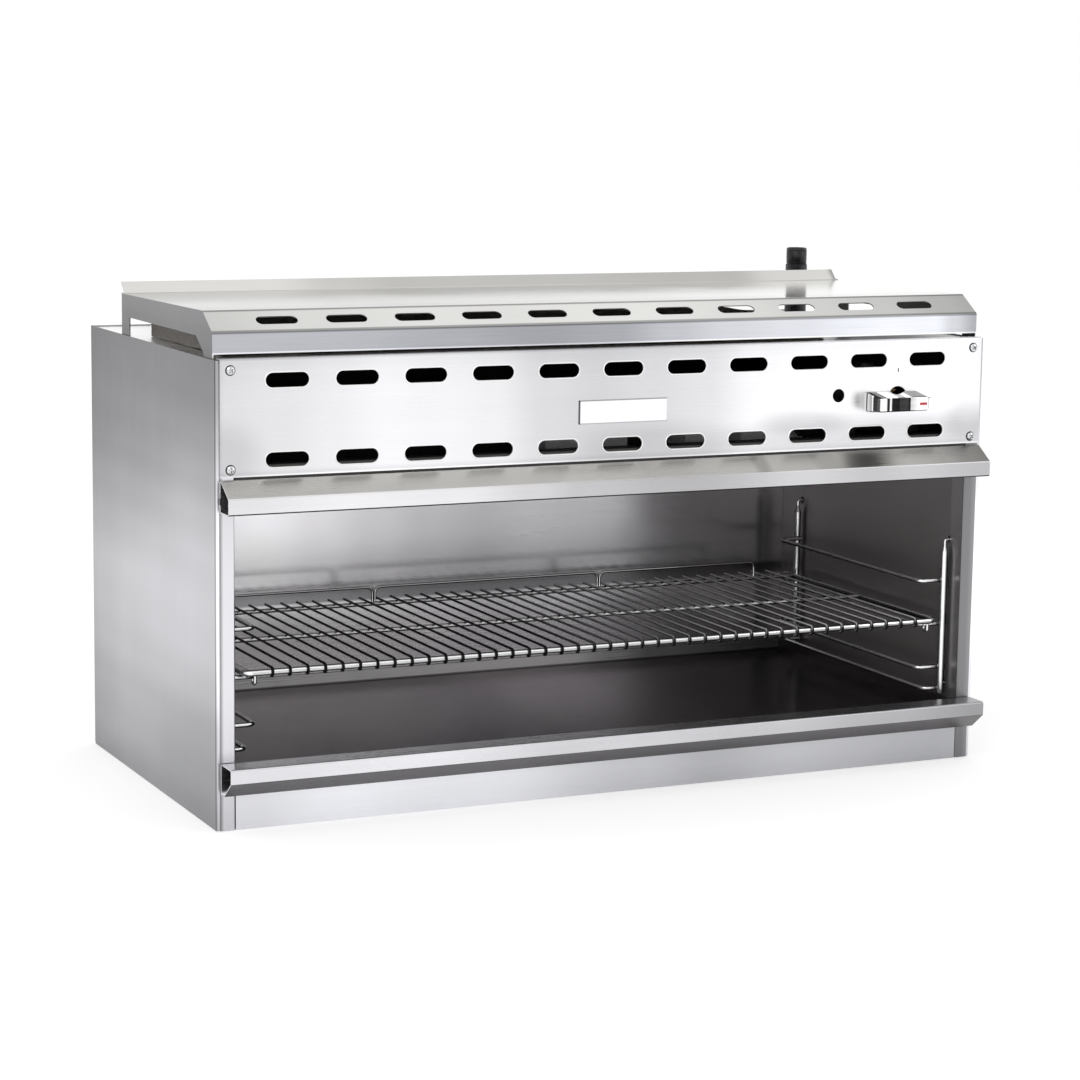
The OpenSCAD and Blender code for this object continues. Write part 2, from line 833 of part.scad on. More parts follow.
// The back stop: three low hoops that stand on the rear cross rod, between grid wires
module rack_fence() {
    foot = cross_z + cross_r + seat;
    top = grid_z + wire_r + fence_h - fence_r;
    inner = (floor(wire_reach * 0.38) + 0.5) * wire_pitch;
    outer = (wire_reach - 1.5) * wire_pitch;
    step = fence_r + seat;
    color("lightgray") at_front()
        for (span = [[step - inner, inner - step], [inner + step, outer], [-outer, -inner - step]])
            bent_rod([
                [span[0], rack_rear, foot], [span[0], rack_rear, top],
                [span[1], rack_rear, top], [span[1], rack_rear, foot]
            ], fence_r, 7);
}

// Hooks under the front corners, which meet the rungs' ends when the rack is home
module rack_hooks() {
    x = rack_half - frame_bend - hook_r - 0.3;
    low = rack_z - frame_r - 8.5;
    reach = post_front + post_r - 0.8 - hook_r;
    color("lightgray") at_front() both_sides() difference() {
        bent_rod([
            [x, rack_front, rack_z - frame_r + 1.5], [x, rack_front, low],
            [x, reach, low], [x, reach, low + 4.5]
        ], hook_r, 3);
        straight_rod([x - 9, rack_front, rack_z], [x + 9, rack_front, rack_z], frame_r + seat);
    }
}

// ---- drip pan ----

module pan_tray() {
    color("dimgray") at_front() difference() {
        union() {
            box([-pan_half, pan_front, pan_z], [pan_half, pan_rear, pan_z + sheet + pan_wall]);
            box([-pan_half, pan_front, pan_z], [pan_half, pan_front + sheet, handle_top - 1]);
        }
        box([-pan_half + sheet, pan_front + sheet, pan_z + sheet],
            [pan_half - sheet, pan_rear - sheet, pan_z + 100]);
    }
}

// The pan's handle: a folded channel across the front, open at both ends
module pan_handle() {
    out = -sheet - handle_out;
    low = handle_top - handle_face - handle_under;
    section = [
        [pan_front, low], [pan_front, handle_top], [out, handle_top],
        [out, handle_top - handle_face], [out + handle_tuck, low]
    ];
    color("gainsboro") at_front() along_x(2 * jamb_out) polygon(sheet_outline(section));
}

// ---- burner ----

// An upturned steel box that holds the gas and air over the tiles
module burner_box() {
    color("slategray") at_front() difference() {
        box([-burner_half, burner_front, burner_z], [burner_half, burner_rear, burner_z + burner_h]);
        box([-burner_half + sheet, burner_front + sheet, burner_z - 1],
            [burner_half - sheet, burner_rear - sheet, burner_z + burner_h - sheet]);
        translate([knob_x, 0, knob_z]) along_y(burner_front - 1, burner_front + 2 * sheet) circle(15);
    }
}

module burner_tiles() {
    gap = 1;
    half = burner_half - sheet - 0.5;
    pitch = 2 * half / tiles;
    color("wheat") at_front() for (i = [0 : tiles - 1])
        box([-half + i * pitch + gap / 2, burner_front + sheet + 0.5, burner_z],
            [-half + (i + 1) * pitch - gap / 2, burner_rear - sheet - 0.5, burner_z + tile_t]);
}

// Rods below the tiles, held by a flat bar at each end
module burner_screen() {
    bar_x = burner_half - 14;
    rod_z = ceiling_z - 6;
    first = burner_front + 15;
    rods = floor((burner_d - 30) / screen_pitch);
    color("gray") at_front() {
        both_sides()
            box([bar_x - 1.5, burner_front + 6, rod_z - 3], [bar_x + 1.5, burner_rear - 6, ceiling_z]);
        for (i = [0 : rods]) translate([0, first + i * screen_pitch, rod_z]) rotate([0, 90, 0])
            cylinder(h = 2 * bar_x + 10, r = screen_r, center = true);
    }
}

// Gas and air mix in this throat before the burner box
module mixer_tube() {
    start = hood_end - 3;
    length = burner_front - start;
    outer = [[20, 0], [12, 14], [15, length]];
    color("silver") at_front() translate([knob_x, start, knob_z]) rotate([-90, 0, 0]) rotate_extrude()
        polygon([
            outer[0], outer[1], outer[2] - [0, 3], [24, length - 3], [24, length],
            outer[2] - [1.5, 0], outer[1] - [1.5, 0], outer[0] - [1.5, 0]
        ]);
}

module orifice_hood() {
    color("goldenrod") at_front() translate([knob_x, valve_rear, knob_z]) rotate([-90, 0, 0]) {
        cylinder(h = 8, d = 15, $fn = 6);
        translate([0, 0, 8]) cylinder(h = hood_end - valve_rear - 8, r1 = 5, r2 = 3);
    }
}

// ---- gas line ----

// The valve's body, drilled for the stem and hollowed to sit on the manifold
module gas_valve() {
    color("goldenrod") at_front() difference() {
        union() {
            translate([knob_x, valve_front, knob_z]) rotate([-90, 0, 0])
                cylinder(h = valve_rear - valve_front, r = 12);
            translate([knob_x, valve_front - 10, knob_z]) rotate([-90, 0, 0]) cylinder(h = 10, r = 8);
            translate([knob_x, manifold_y, pipe_z]) cylinder(h = knob_z - pipe_z, r = 8);
        }
        straight_rod([knob_x - 20, manifold_y, pipe_z], [knob_x + 20, manifold_y, pipe_z], pipe_r);
        translate([knob_x, valve_front - 11, knob_z]) rotate([-90, 0, 0])
            cylinder(h = 22, r = stem_r + stem_fit);
    }
}

// A straight tube of gas pipe between two points
module gas_pipe(a, b) {
    d = unit(b - a);
    difference() {
        straight_rod(a, b, pipe_r);
        straight_rod(a - d, b + d, pipe_bore);
    }
}

// A square elbow at the corner, which opens along the directions u and v
module elbow(corner, u, v) {
    reach = elbow_r + socket;
    difference() {
        union() {
            bent_rod([corner + u * reach, corner, corner + v * reach], pipe_r + 3, elbow_r);
            for (d = [u, v]) straight_rod(corner + d * (reach - 7), corner + d * reach, pipe_r + 5);
        }
        bent_rod([corner + u * (reach + 1), corner, corner + v * (reach + 1)], pipe_bore, elbow_r);
        for (d = [u, v]) straight_rod(corner + d * elbow_r, corner + d * (reach + 1), pipe_r);
    }
}

module inlet_elbow() {
    color("black") at_front() elbow([inlet_x, inlet_y, pipe_z], [0, 0, 1], [0, -1, 0]);
}

module manifold_elbow() {
    color("black") at_front() elbow([inlet_x, manifold_y, pipe_z], [0, 1, 0], [-1, 0, 0]);
}

// The riser that the building's gas line screws on to
module inlet_pipe() {
    top = body_h + inlet_rise;
    color("black") at_front() difference() {
        union() {
            translate([inlet_x, inlet_y, pipe_z + elbow_r])
                cylinder(h = top - thread_l - pipe_z - elbow_r, r = pipe_r);
            translate([inlet_x, inlet_y, top - thread_l]) cylinder(h = thread_l, r = pipe_r - 0.35);
        }
        translate([inlet_x, inlet_y, pipe_z]) cylinder(h = top, r = pipe_bore);
    }
}

module supply_pipe() {
    reach = regulator_l / 2 - socket;
    color("black") at_front() translate([inlet_x, 0, pipe_z]) {
        gas_pipe([0, inlet_y - elbow_r, 0], [0, regulator_y + reach, 0]);
        gas_pipe([0, regulator_y - reach, 0], [0, manifold_y + elbow_r, 0]);
    }
}

// Holds the gas at the burner's pressure: a body on the pipe, and a round diaphragm case
module pressure_regulator() {
    y0 = regulator_y - regulator_l / 2;
    y1 = regulator_y + regulator_l / 2;
    color("darkgray") at_front() difference() {
        union() {
            straight_rod([inlet_x, y0, pipe_z], [inlet_x, y1, pipe_z], pipe_r + 4);
            translate([inlet_x, regulator_y, pipe_z]) cylinder(h = 24, r = 14);
            translate([inlet_x, regulator_y, pipe_z + 22]) cylinder(h = 9, r = 20.5);
            translate([inlet_x, regulator_y, pipe_z + 31]) cylinder(h = 16, r1 = 14, r2 = 9);
        }
        straight_rod([inlet_x, y0 - 1, pipe_z], [inlet_x, y0 + socket, pipe_z], pipe_r);
        straight_rod([inlet_x, y1 - socket, pipe_z], [inlet_x, y1 + 1, pipe_z], pipe_r);
        straight_rod([inlet_x, y0, pipe_z], [inlet_x, y1, pipe_z], 6);
    }
}

module manifold_pipe() {
    color("black") at_front()
        gas_pipe([manifold_end, manifold_y, pipe_z], [inlet_x - elbow_r, manifold_y, pipe_z]);
}

module manifold_cap() {
    color("black") at_front() translate([manifold_end, manifold_y, pipe_z]) difference() {
        straight_rod([-4, 0, 0], [socket, 0, 0], pipe_r + 3);
        straight_rod([0, 0, 0], [socket + 1, 0, 0], pipe_r);
    }
}

// Saddles that carry the manifold on the ceiling
module manifold_brackets() {
    color("silver") at_front() difference() {
        for (x = bracket_places)
            box([x - 8, manifold_y - bracket_half, burner_z],
                [x + 8, manifold_y + bracket_half, pipe_z - 6]);
        straight_rod([200, manifold_y, pipe_z], [side, manifold_y, pipe_z], pipe_r);
    }
}

module pilot_valve() {
    color("goldenrod") at_front() difference() {
        union() {
            translate([pilot_x, pilot_front, pilot_z]) rotate([-90, 0, 0])
                cylinder(h = pilot_rear - pilot_front, r = pilot_r);
            translate([pilot_x, manifold_y, pipe_z]) cylinder(h = pilot_z - pipe_z, r = 4.5);
        }
        straight_rod([pilot_x - 20, manifold_y, pipe_z], [pilot_x + 20, manifold_y, pipe_z], pipe_r);
        // the adjusting screw's slot
        translate([pilot_x, pilot_front, pilot_z]) cube([2 * pilot_r, 4, 1.4], center = true);
    }
}

module pilot_tube() {
    color("silver") at_front() translate([pilot_x, 0, 0]) bent_rod([
        [0, pilot_rear, pilot_z], [0, pilot_drop, pilot_z], [0, pilot_drop, ceiling_z - 6]
    ], tube_r, 9);
}

// The standing flame beside the front tiles, on a tab under the ceiling
module pilot_burner() {
    color("silver") at_front() translate([pilot_x, pilot_drop, ceiling_z]) difference() {
        union() {
            box([-14, -9, -1.5], [14, 9, 0]);
            translate([0, 0, -14]) cylinder(h = 8, r = 5);
            both_sides() box([8, -5, -14], [10, 5, -1]);
            box([-10, -5, -14], [10, 5, -12]);
        }
        cylinder(h = 6, r = tube_r + 0.6, center = true);
    }
}

// ---- knob ----

// The knob's side view is a wedge, and its front view is a rounded bar
module control_knob() {
    back = face - 0.6;
    bottom = -knob_back_h / 2 - knob_drop;
    corner = 3.5;
    pointer = knob_w / 2 - knob_shift + 2;
    color("lightgray") at_front() translate([knob_x, 0, knob_z]) difference() {
        union() {
            translate([-knob_shift, 0, 0]) intersection() {
                along_x(knob_w) polygon([
                    [back, bottom], [back, bottom + knob_back_h - 1], [back - 3, bottom + knob_back_h],
                    [knob_front, knob_low + knob_front_h], [knob_front, knob_low]
                ]);
                along_y(knob_front - 1, 0) translate([0, -knob_drop]) {
                    square([knob_w - 2 * corner, knob_back_h], center = true);
                    square([knob_w, knob_back_h - 2 * corner], center = true);
                    for (x = [-1, 1] * (knob_w / 2 - corner), z = [-1, 1] * (knob_back_h / 2 - corner))
                        translate([x, z]) circle(corner);
                }
            }
            // the pointer
            box([0, knob_front + 1, 0], [pointer, knob_front + 3, 1.6]);
        }
        translate([0, knob_front + stem_in, 0]) rotate([-90, 0, 0]) cylinder(h = 40, r = stem_r);
        // the set screw's hole
        translate([-knob_w / 2 - knob_shift - 1, knob_front + set_screw_in, 0]) rotate([0, 90, 0])
            cylinder(h = knob_w / 2 + knob_shift + 1, r = set_screw_r);
    }
}

module knob_mark() {
    mark_z = knob_z + knob_low + knob_front_h / 2;
    color("red") at_front()
        box([knob_x + 12.5, knob_front - 0.2, mark_z - 1.4], [knob_x + 21.5, knob_front, mark_z + 1.4]);
}

module valve_stem() {
    start = knob_front + stem_in;
    color("silver") at_front() translate([knob_x, start, knob_z]) rotate([-90, 0, 0])
        cylinder(h = valve_front + 9 - start, r = stem_r);
}

module knob_set_screw() {
    reach = 18;
    color("black") at_front() translate([knob_x - reach, knob_front + set_screw_in, knob_z])
        rotate([0, 90, 0]) cylinder(h = reach - stem_r - seat, r = set_screw_r);
}

left_side_panel();
right_side_panel();
back_panel();
base_pan();
left_jamb();
right_jamb();
plinth();
front_header();
control_panel();
bare_plate();
panel_screws();
dial_tick();
canopy();
top_cover();
top_deck();
burner_blanket();
fibre_blocks();
cavity_floor();
cavity_back();
cavity_left_wall();
cavity_right_wall();
burner_ceiling();
back_insulation();
left_insulation();
right_insulation();
left_pan_runner();
right_pan_runner();
left_rack_guide();
right_rack_guide();
burner_box();
burner_tiles();
burner_screen();
mixer_tube();
orifice_hood();
gas_valve();
manifold_pipe();
manifold_cap();
manifold_elbow();
manifold_brackets();
supply_pipe();
pressure_regulator();
inlet_elbow();
inlet_pipe();
pilot_valve();
pilot_tube();
pilot_burner();
back_screws();
rack_frame();
rack_wires();
rack_fence();
rack_hooks();
pan_tray();
pan_handle();
control_knob();
knob_mark();
valve_stem();
knob_set_screw();
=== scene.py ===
# %% [markdown]
# # A gas cheese melter, dressed around its imported model
# The cabinet, rack, pan and knob arrive as a fixed frame in metres. +X is the gas inlet's end
# and the open front faces -Y. This lesson adds what the frame lacks: brushed steel with painted
# reflections and painted shade, bright where it faces the room and dark deep inside, chromed
# wires with painted highlights, punched slots, screws, fibre and cast iron.

# %% Load the frame
import json
import math

import bmesh
import bpy
from mathutils import Matrix, Vector
from mathutils import noise as field

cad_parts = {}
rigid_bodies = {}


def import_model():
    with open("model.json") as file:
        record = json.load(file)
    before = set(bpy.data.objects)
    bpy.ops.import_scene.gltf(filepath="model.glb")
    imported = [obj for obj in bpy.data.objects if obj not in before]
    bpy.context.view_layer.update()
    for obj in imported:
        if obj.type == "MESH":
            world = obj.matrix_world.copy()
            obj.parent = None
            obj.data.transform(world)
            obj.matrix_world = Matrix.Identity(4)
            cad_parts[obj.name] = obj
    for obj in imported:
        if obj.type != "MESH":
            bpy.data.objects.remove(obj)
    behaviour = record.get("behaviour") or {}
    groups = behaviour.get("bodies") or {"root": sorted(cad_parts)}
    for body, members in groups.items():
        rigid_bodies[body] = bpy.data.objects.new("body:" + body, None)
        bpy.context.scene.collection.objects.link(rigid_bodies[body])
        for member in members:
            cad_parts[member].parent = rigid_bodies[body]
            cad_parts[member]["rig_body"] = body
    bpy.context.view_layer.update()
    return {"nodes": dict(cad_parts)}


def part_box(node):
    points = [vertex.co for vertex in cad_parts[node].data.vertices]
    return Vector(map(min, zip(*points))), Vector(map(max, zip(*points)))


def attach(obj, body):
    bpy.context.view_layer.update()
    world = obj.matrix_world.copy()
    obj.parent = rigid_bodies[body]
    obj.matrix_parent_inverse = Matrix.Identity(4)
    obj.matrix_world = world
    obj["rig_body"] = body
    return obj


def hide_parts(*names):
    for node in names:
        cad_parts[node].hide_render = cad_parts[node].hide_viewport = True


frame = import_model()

MM = 0.001

# %% [markdown]
# ## The camera
# The picture was taken with a long lens, a little above the cabinet and to its left. A camera
# is a matrix: its columns are where its right, its up and its back point. Writing them out
# keeps the view exact, which aiming by eye would not.

# %% Camera
lens = bpy.data.cameras.new("camera")
lens.lens = 97.18
lens.sensor_width = 36
lens.clip_start = 0.05
camera = bpy.data.objects.new("camera", lens)
bpy.context.scene.collection.objects.link(camera)
right = Vector((0.90558, -0.42394, 0.01385))
up = Vector((0.05401, 0.14764, 0.98757))
turn = Matrix((right, up, right.cross(up))).transposed().to_4x4()
camera.matrix_world = Matrix.Translation((-1.3996, -2.9887, 0.7689)) @ turn
bpy.context.scene.camera = camera
bpy.context.scene.view_settings.view_transform = "Standard"
print("camera", [round(v, 2) for v in camera.location])

# %% [markdown]
# ## Small helpers for nodes
# A shader and a Geometry Nodes tree are both built from nodes and links. One helper adds a
# node with its settings and fills its sockets, with plain values or with another node's
# output. The rest of the file then reads like a recipe.

# %% Node helpers
def put(tree, kind, inputs=None, **settings):
    node = tree.nodes.new(kind)
    for name, value in settings.items():
        setattr(node, name, value)
    for name, value in (inputs or {}).items():
        socket = node.inputs[name]
        if isinstance(value, bpy.types.NodeSocket):
            tree.links.new(value, socket)
        else:
            socket.default_value = value
    return node


def maths(tree, operation, a, b=0.0):
    return put(tree, "ShaderNodeMath", {0: a, 1: b}, operation=operation).outputs[0]


def xyz(tree, x=0.0, y=0.0, z=0.0):
    """Three numbers, each plain or from a node, as one vector."""
    return put(tree, "ShaderNodeCombineXYZ", {0: x, 1: y, 2: z}).outputs[0]


print("helpers", put.__name__, maths.__name__, xyz.__name__)

# %% [markdown]
# ## Brushed stainless steel
# Real sheet is ground in one direction. Up close that is a mass of fine scratches. From a step
# away it shows as streaks along the grain and as a soft sheen. Steel also has hardly any colour
# of its own, and a cabinet with a large flat face is never one grey: it mirrors a room that fades
# from end to end. So each finish here has slow ramps across the piece, in object coordinates,
# which paint those reflections and the shade into the colour, then noise that is stretched along
# the grain, then clouds of handling marks in the roughness.

# %% Brushed steel
AXES = "XYZ"
SCRATCH_LENGTH = 60      # in widths of a scratch
STREAKS_ACROSS, STREAKS_ALONG = 45, 1.2


def new_material(name):
    material = bpy.data.materials.new(name)
    material.use_nodes = True
    return material, material.node_tree


def grains(tree, where, stretch, scale, detail, roughness=0.5):
    """Noise that is squeezed along each axis by a number of its own."""
    along = put(tree, "ShaderNodeMapping", {"Vector": where, "Scale": stretch}).outputs[0]
    return put(tree, "ShaderNodeTexNoise", {"Vector": along, "Scale": scale, "Detail": detail,
                                            "Roughness": roughness}).outputs[0]


def slow_ramp(tree, place, axis, stops):
    """A painted brightness along one axis, from stops of (millimetres, brightness)."""
    low, high = stops[0][0] * MM, stops[-1][0] * MM
    share = put(tree, "ShaderNodeMapRange", {"Value": place.outputs[AXES.index(axis)],
                                             "From Min": low, "From Max": high}).outputs[0]
    ramp = put(tree, "ShaderNodeValToRGB", {"Fac": share})
    ramp.color_ramp.interpolation = "EASE"
    points = ramp.color_ramp.elements
    while len(points) < len(stops):
        points.new(0.5)
    for point, (at, value) in zip(points, stops):
        point.position = (at * MM - low) / (high - low)
        point.color = (value, value, value, 1)
    return ramp.outputs[0]


def product(tree, a, b):
    mix = put(tree, "ShaderNodeMix", {0: 1.0, 6: a, 7: b}, data_type="RGBA", blend_type="MULTIPLY",
              clamp_result=False)
    return mix.outputs[2]


def spread(tree, value, low, high):
    """Turns a noise that lies round one half into a factor between two numbers."""
    return put(tree, "ShaderNodeMapRange", {"Value": value, "From Min": 0.3, "From Max": 0.7,
                                            "To Min": low, "To Max": high}).outputs[0]


def patch(tree, where, centre, radii, gain):
    """A soft painted patch: the painted reflection of a bright or a dark thing in the room."""
    shift = put(tree, "ShaderNodeVectorMath", {0: where, 1: Vector(centre) * MM},
                operation="SUBTRACT").outputs[0]
    share = put(tree, "ShaderNodeVectorMath", {0: shift, 1: Vector(radii) * MM},
                operation="DIVIDE").outputs[0]
    far = put(tree, "ShaderNodeVectorMath", {0: share}, operation="LENGTH").outputs["Value"]
    factor = put(tree, "ShaderNodeMapRange", {"Value": far, "From Min": 0.3, "From Max": 1.0,
                                              "To Min": gain, "To Max": 1.0},
                 interpolation_type="SMOOTHSTEP").outputs[0]
    return xyz(tree, factor, factor, factor)


def steel(name, ramps, rough, grain="X", tint=(1, 1, 1), streak=0.03, cloud=0.03,
          bump=0.05, fine=520.0, metal=1.0, painted_light_patches=(), edge=1.0):
    """Brushed steel. The ramps and the patches are painted reflections and painted shade; they
    multiply each other, and the grain runs along one axis. The edge is how much a flat view along
    the sheet still mirrors."""
    material, tree = new_material(name)
    shader = tree.nodes["Principled BSDF"]
    where = put(tree, "ShaderNodeTexCoord").outputs["Object"]
    place = put(tree, "ShaderNodeSeparateXYZ", {0: where})
    colour = (*tint, 1)
    for axis, stops in ramps:
        colour = product(tree, colour, slow_ramp(tree, place, axis, stops))
    for centre, radii, gain in painted_light_patches:
        colour = product(tree, colour, patch(tree, where, centre, radii, gain))
    stretch = [fine if a != grain else fine / SCRATCH_LENGTH for a in AXES]
    scratches = grains(tree, where, stretch, 1, 3, 0.6)
    stretch = [STREAKS_ACROSS if a != grain else STREAKS_ALONG for a in AXES]
    streaks = grains(tree, where, stretch, 1, 4, 0.55)
    clouds = grains(tree, where, (1, 1, 1), 7, 4)
    for noise, amount in ((scratches, streak), (streaks, streak * 0.8), (clouds, cloud)):
        factor = spread(tree, noise, 1 - amount, 1 + amount)
        colour = product(tree, colour, xyz(tree, factor, factor, factor))
    tree.links.new(colour, shader.inputs["Base Color"])
    shader.inputs["Metallic"].default_value = metal
    shader.inputs["Specular Tint"].default_value = (edge, edge, edge, 1)
    mottle = maths(tree, "ADD", spread(tree, clouds, rough - 0.04, rough + 0.04),
                   spread(tree, scratches, -0.03, 0.03))
    tree.links.new(mottle, shader.inputs["Roughness"])
    dents = put(tree, "ShaderNodeBump", {"Strength": bump, "Distance": 0.0002,
                                         "Height": scratches}).outputs[0]
    tree.links.new(dents, shader.inputs["Normal"])
    return material


print("grain", 1 / STREAKS_ALONG, "m long and", round(1 / STREAKS_ACROSS, 3), "m wide")

# %% [markdown]
# ## The finishes of the sheet pieces
# The brightness of each face comes from the room around it. The tall side is darkest at its
# top. The slotted panel is almost white towards the knob. The cavity falls from a bright left
# to a nearly black right, because its opening faces a dark part of the room. A ramp is an axis
# with its stops, and a stop is a place in millimetres with the brightness there. The stops were
# set from the photograph's brightness, read at points along each face. So they are painted
# reflections and painted shade, and stand in for what the lights of this room don't give. The
# thin bright and dark lines at the folds and edges are painted highlights and painted shade too.

# %% Finishes of the sheet pieces
side_steel = steel("side_satin", [
    ("Z", [(0, 0.28), (50, 0.36), (97, 0.405), (141, 0.50), (185, 0.57), (229, 0.60), (273, 0.54),
           (317, 0.44), (360, 0.335), (403, 0.272), (450, 0.22), (486, 0.206)]),
    ("Y", [(-217.5, 2.1), (-216.9, 1.6), (-216.4, 0.30), (-215.2, 0.34), (-214.3, 0.98),
           (-110, 1.02), (-20, 1.0), (80, 0.94), (172, 0.84), (217, 0.78)])],
    grain="Z", tint=(0.985, 0.985, 1.03), rough=0.36, streak=0.012, cloud=0.015,
    painted_light_patches=[((-457, 160, 330), (60, 240, 120), 0.86), ((-457, -190, 340), (60, 180, 110), 1.14),
             ((-457, -190, 50), (60, 200, 130), 0.87), ((-457, 160, 70), (60, 220, 130), 1.10)])
# Painted reflections on the panel: near white towards the knob, with darker painted patches and
# painted shade under the cover's edge.
panel_steel = steel("panel_painted_light", [
    ("X", [(-453, 0.66), (-449, 0.72), (-388, 0.76), (-330, 0.83), (-272, 0.90), (-213, 0.87),
           (-152, 0.84), (-91, 0.70), (-30, 0.65), (36, 0.69), (100, 0.75), (166, 0.93),
           (233, 1.0), (440, 0.99), (453, 0.93)]),
    ("Z", [(366, 1.25), (367.2, 1.2), (368, 0.88), (374, 1.0), (450, 1.0), (470, 0.97),
           (483, 0.93), (486, 0.70)])],
    tint=(0.99, 0.99, 1.015), rough=0.28, cloud=0.02, streak=0.012,
    painted_light_patches=[((330, -219, 378), (290, 60, 34), 0.72), ((436, -219, 392), (42, 60, 34), 0.80),
             ((-452, -219, 385), (60, 60, 50), 0.84), ((40, -219, 374), (130, 60, 44), 0.82),
             ((225, -219, 398), (75, 60, 20), 0.80)])
strip_steel = steel("cover_strip", [
    ("X", [(-455, 0.50), (-335, 0.50), (-202, 0.43), (-75, 0.38), (0, 0.41), (69, 0.55),
           (140, 0.68), (218, 0.78), (347, 0.92), (400, 0.88), (425, 0.66), (456, 0.42)]),
    ("Z", [(489.4, 2.0), (490.8, 1.6), (491.4, 1.0), (509.0, 1.0), (510.4, 0.45), (511.4, 0.4)])],
    tint=(0.97, 0.985, 1.05), rough=0.3, streak=0.04)
slope_steel = steel("cover_slope", [
    ("X", [(-455, 0.60), (-360, 0.70), (-207, 0.74), (-60, 0.76), (50, 0.77), (150, 0.71),
           (250, 0.64), (335, 0.58), (420, 0.45), (456, 0.40)]),
    ("Z", [(511.6, 0.45), (512.6, 0.5), (513.6, 1.0), (529.4, 1.0), (530.6, 0.42), (531.4, 0.4)])],
    tint=(1.01, 1.005, 0.98), rough=0.32, streak=0.015)
top_steel = steel("cover_top", [
    ("X", [(-455, 0.50), (-300, 0.53), (-180, 0.60), (-60, 0.65), (60, 0.73), (160, 0.86),
           (250, 0.97), (330, 1.0), (456, 1.0)]),
    ("Y", [(-173.5, 0.45), (-171.5, 0.55), (-169.0, 0.80), (-150, 0.86), (-110, 1.0), (99, 1.0),
           (102.4, 0.5)])],
    tint=(1.0, 0.995, 0.98), rough=0.13, streak=0.012)
flange_steel = steel("cover_flange", [
    ("X", [(-452, 0.70), (-280, 0.74), (-200, 0.60), (-120, 0.53), (100, 0.52), (310, 0.48),
           (370, 0.66), (444, 0.68), (452.4, 0.3)])],
    tint=(1.01, 1.0, 0.97), rough=0.33, streak=0.015)
cheek_steel = steel("cover_cheek", [
    ("Z", [(486, 0.15), (505, 0.185), (530, 0.22)])],
    grain="Y", tint=(0.99, 0.985, 1.02), rough=0.36, streak=0.02)
canopy_slope_steel = steel("canopy_slope", [
    ("X", [(-453, 0.56), (-325, 0.55), (-200, 0.54), (-80, 0.62), (69, 0.53), (218, 0.49),
           (347, 0.47), (395, 0.36), (430, 0.24), (453, 0.20)]),
    ("Z", [(346, 1.0), (363.6, 1.0), (364.6, 1.7), (365.8, 1.7)])],
    tint=(1.02, 1.0, 0.95), rough=0.30, streak=0.02,
    painted_light_patches=[((163, -225, 356), (14, 60, 60), 0.72), ((243, -225, 356), (22, 60, 60), 0.8)])
canopy_face_steel = steel("canopy_face", [
    ("X", [(-453, 0.74), (-320, 0.84), (-205, 0.78), (-110, 0.63), (-60, 0.54), (70, 0.455),
           (218, 0.61), (300, 0.54), (345, 0.56), (453, 0.48)])],
    tint=(0.99, 0.985, 1.01), rough=0.3, streak=0.02)
jamb_steel = steel("jamb_satin", [
    ("X", [(-453, 0.30), (-452.2, 0.35), (-451.6, 0.82), (-430, 0.82), (430, 0.24), (446, 0.25),
           (453, 0.34)]),
    ("Z", [(0, 0.72), (90, 0.90), (156, 0.955), (247, 0.93), (330, 0.895)])],
    grain="Z", tint=(0.985, 0.985, 1.025), rough=0.33, streak=0.015)
handle_steel = steel("handle_satin", [
    ("X", [(-453, 0.76), (-260, 0.82), (-60, 0.66), (180, 0.56), (330, 0.44), (453, 0.33)])],
    tint=(0.985, 0.985, 1.02), rough=0.28, streak=0.02)
# Painted shade on the faces under the pan handle.
handle_shade_steel = steel("handle_under", [
    ("X", [(-453, 0.10), (-150, 0.11), (453, 0.13)])],
    tint=(1.04, 0.98, 1.0), rough=0.3)
plinth_steel = steel("plinth_satin", [
    ("X", [(-437, 0.73), (-320, 0.88), (-150, 0.81), (33, 0.57), (115, 0.48), (218, 0.55),
           (437, 0.42)]),
    ("Z", [(0, 0.98), (30, 1.0), (50, 0.92)])],
    tint=(0.98, 0.985, 1.03), rough=0.33, streak=0.015)
cavity_back_steel = steel("cavity_back_satin", [
    ("X", [(-438, 0.96), (-330, 0.86), (-260, 0.97), (-190, 0.82), (-120, 0.67), (-50, 0.55),
           (20, 0.48), (90, 0.53), (160, 0.51), (230, 0.46), (300, 0.36), (438, 0.38)]),
    ("Z", [(60, 1.5), (90, 1.75), (110, 1.85), (130, 1.75), (149, 1.6), (154, 0.42), (164, 0.34),
           (169, 1.05), (215, 1.08), (260, 1.0), (300, 1.02), (352, 1.06)])],
    tint=(1.0, 0.985, 1.02), rough=0.22, streak=0.02, metal=0.82)
# Painted shade on the cavity's side walls, a little lighter at the left.
cavity_side_steel = steel("cavity_side_painted_shade", [
    ("X", [(-438, 0.42), (438, 0.28)])],
    grain="Y", tint=(1.06, 0.98, 0.98), rough=0.36, streak=0.01, metal=0.72, bump=0, fine=150)
pan_steel = steel("pan_satin", [
    ("X", [(-435, 0.20), (-300, 0.20), (-230, 0.20), (-150, 0.18), (-60, 0.19), (20, 0.27),
           (90, 0.29), (150, 0.24), (200, 0.18), (260, 0.16), (436, 0.12)]),
    ("Y", [(-150, 0.9), (-60, 1.0), (0, 1.1), (60, 1.25), (130, 1.5)])],
    tint=(1.08, 0.96, 1.02), rough=0.2, streak=0.03, metal=0.85, edge=0.42)
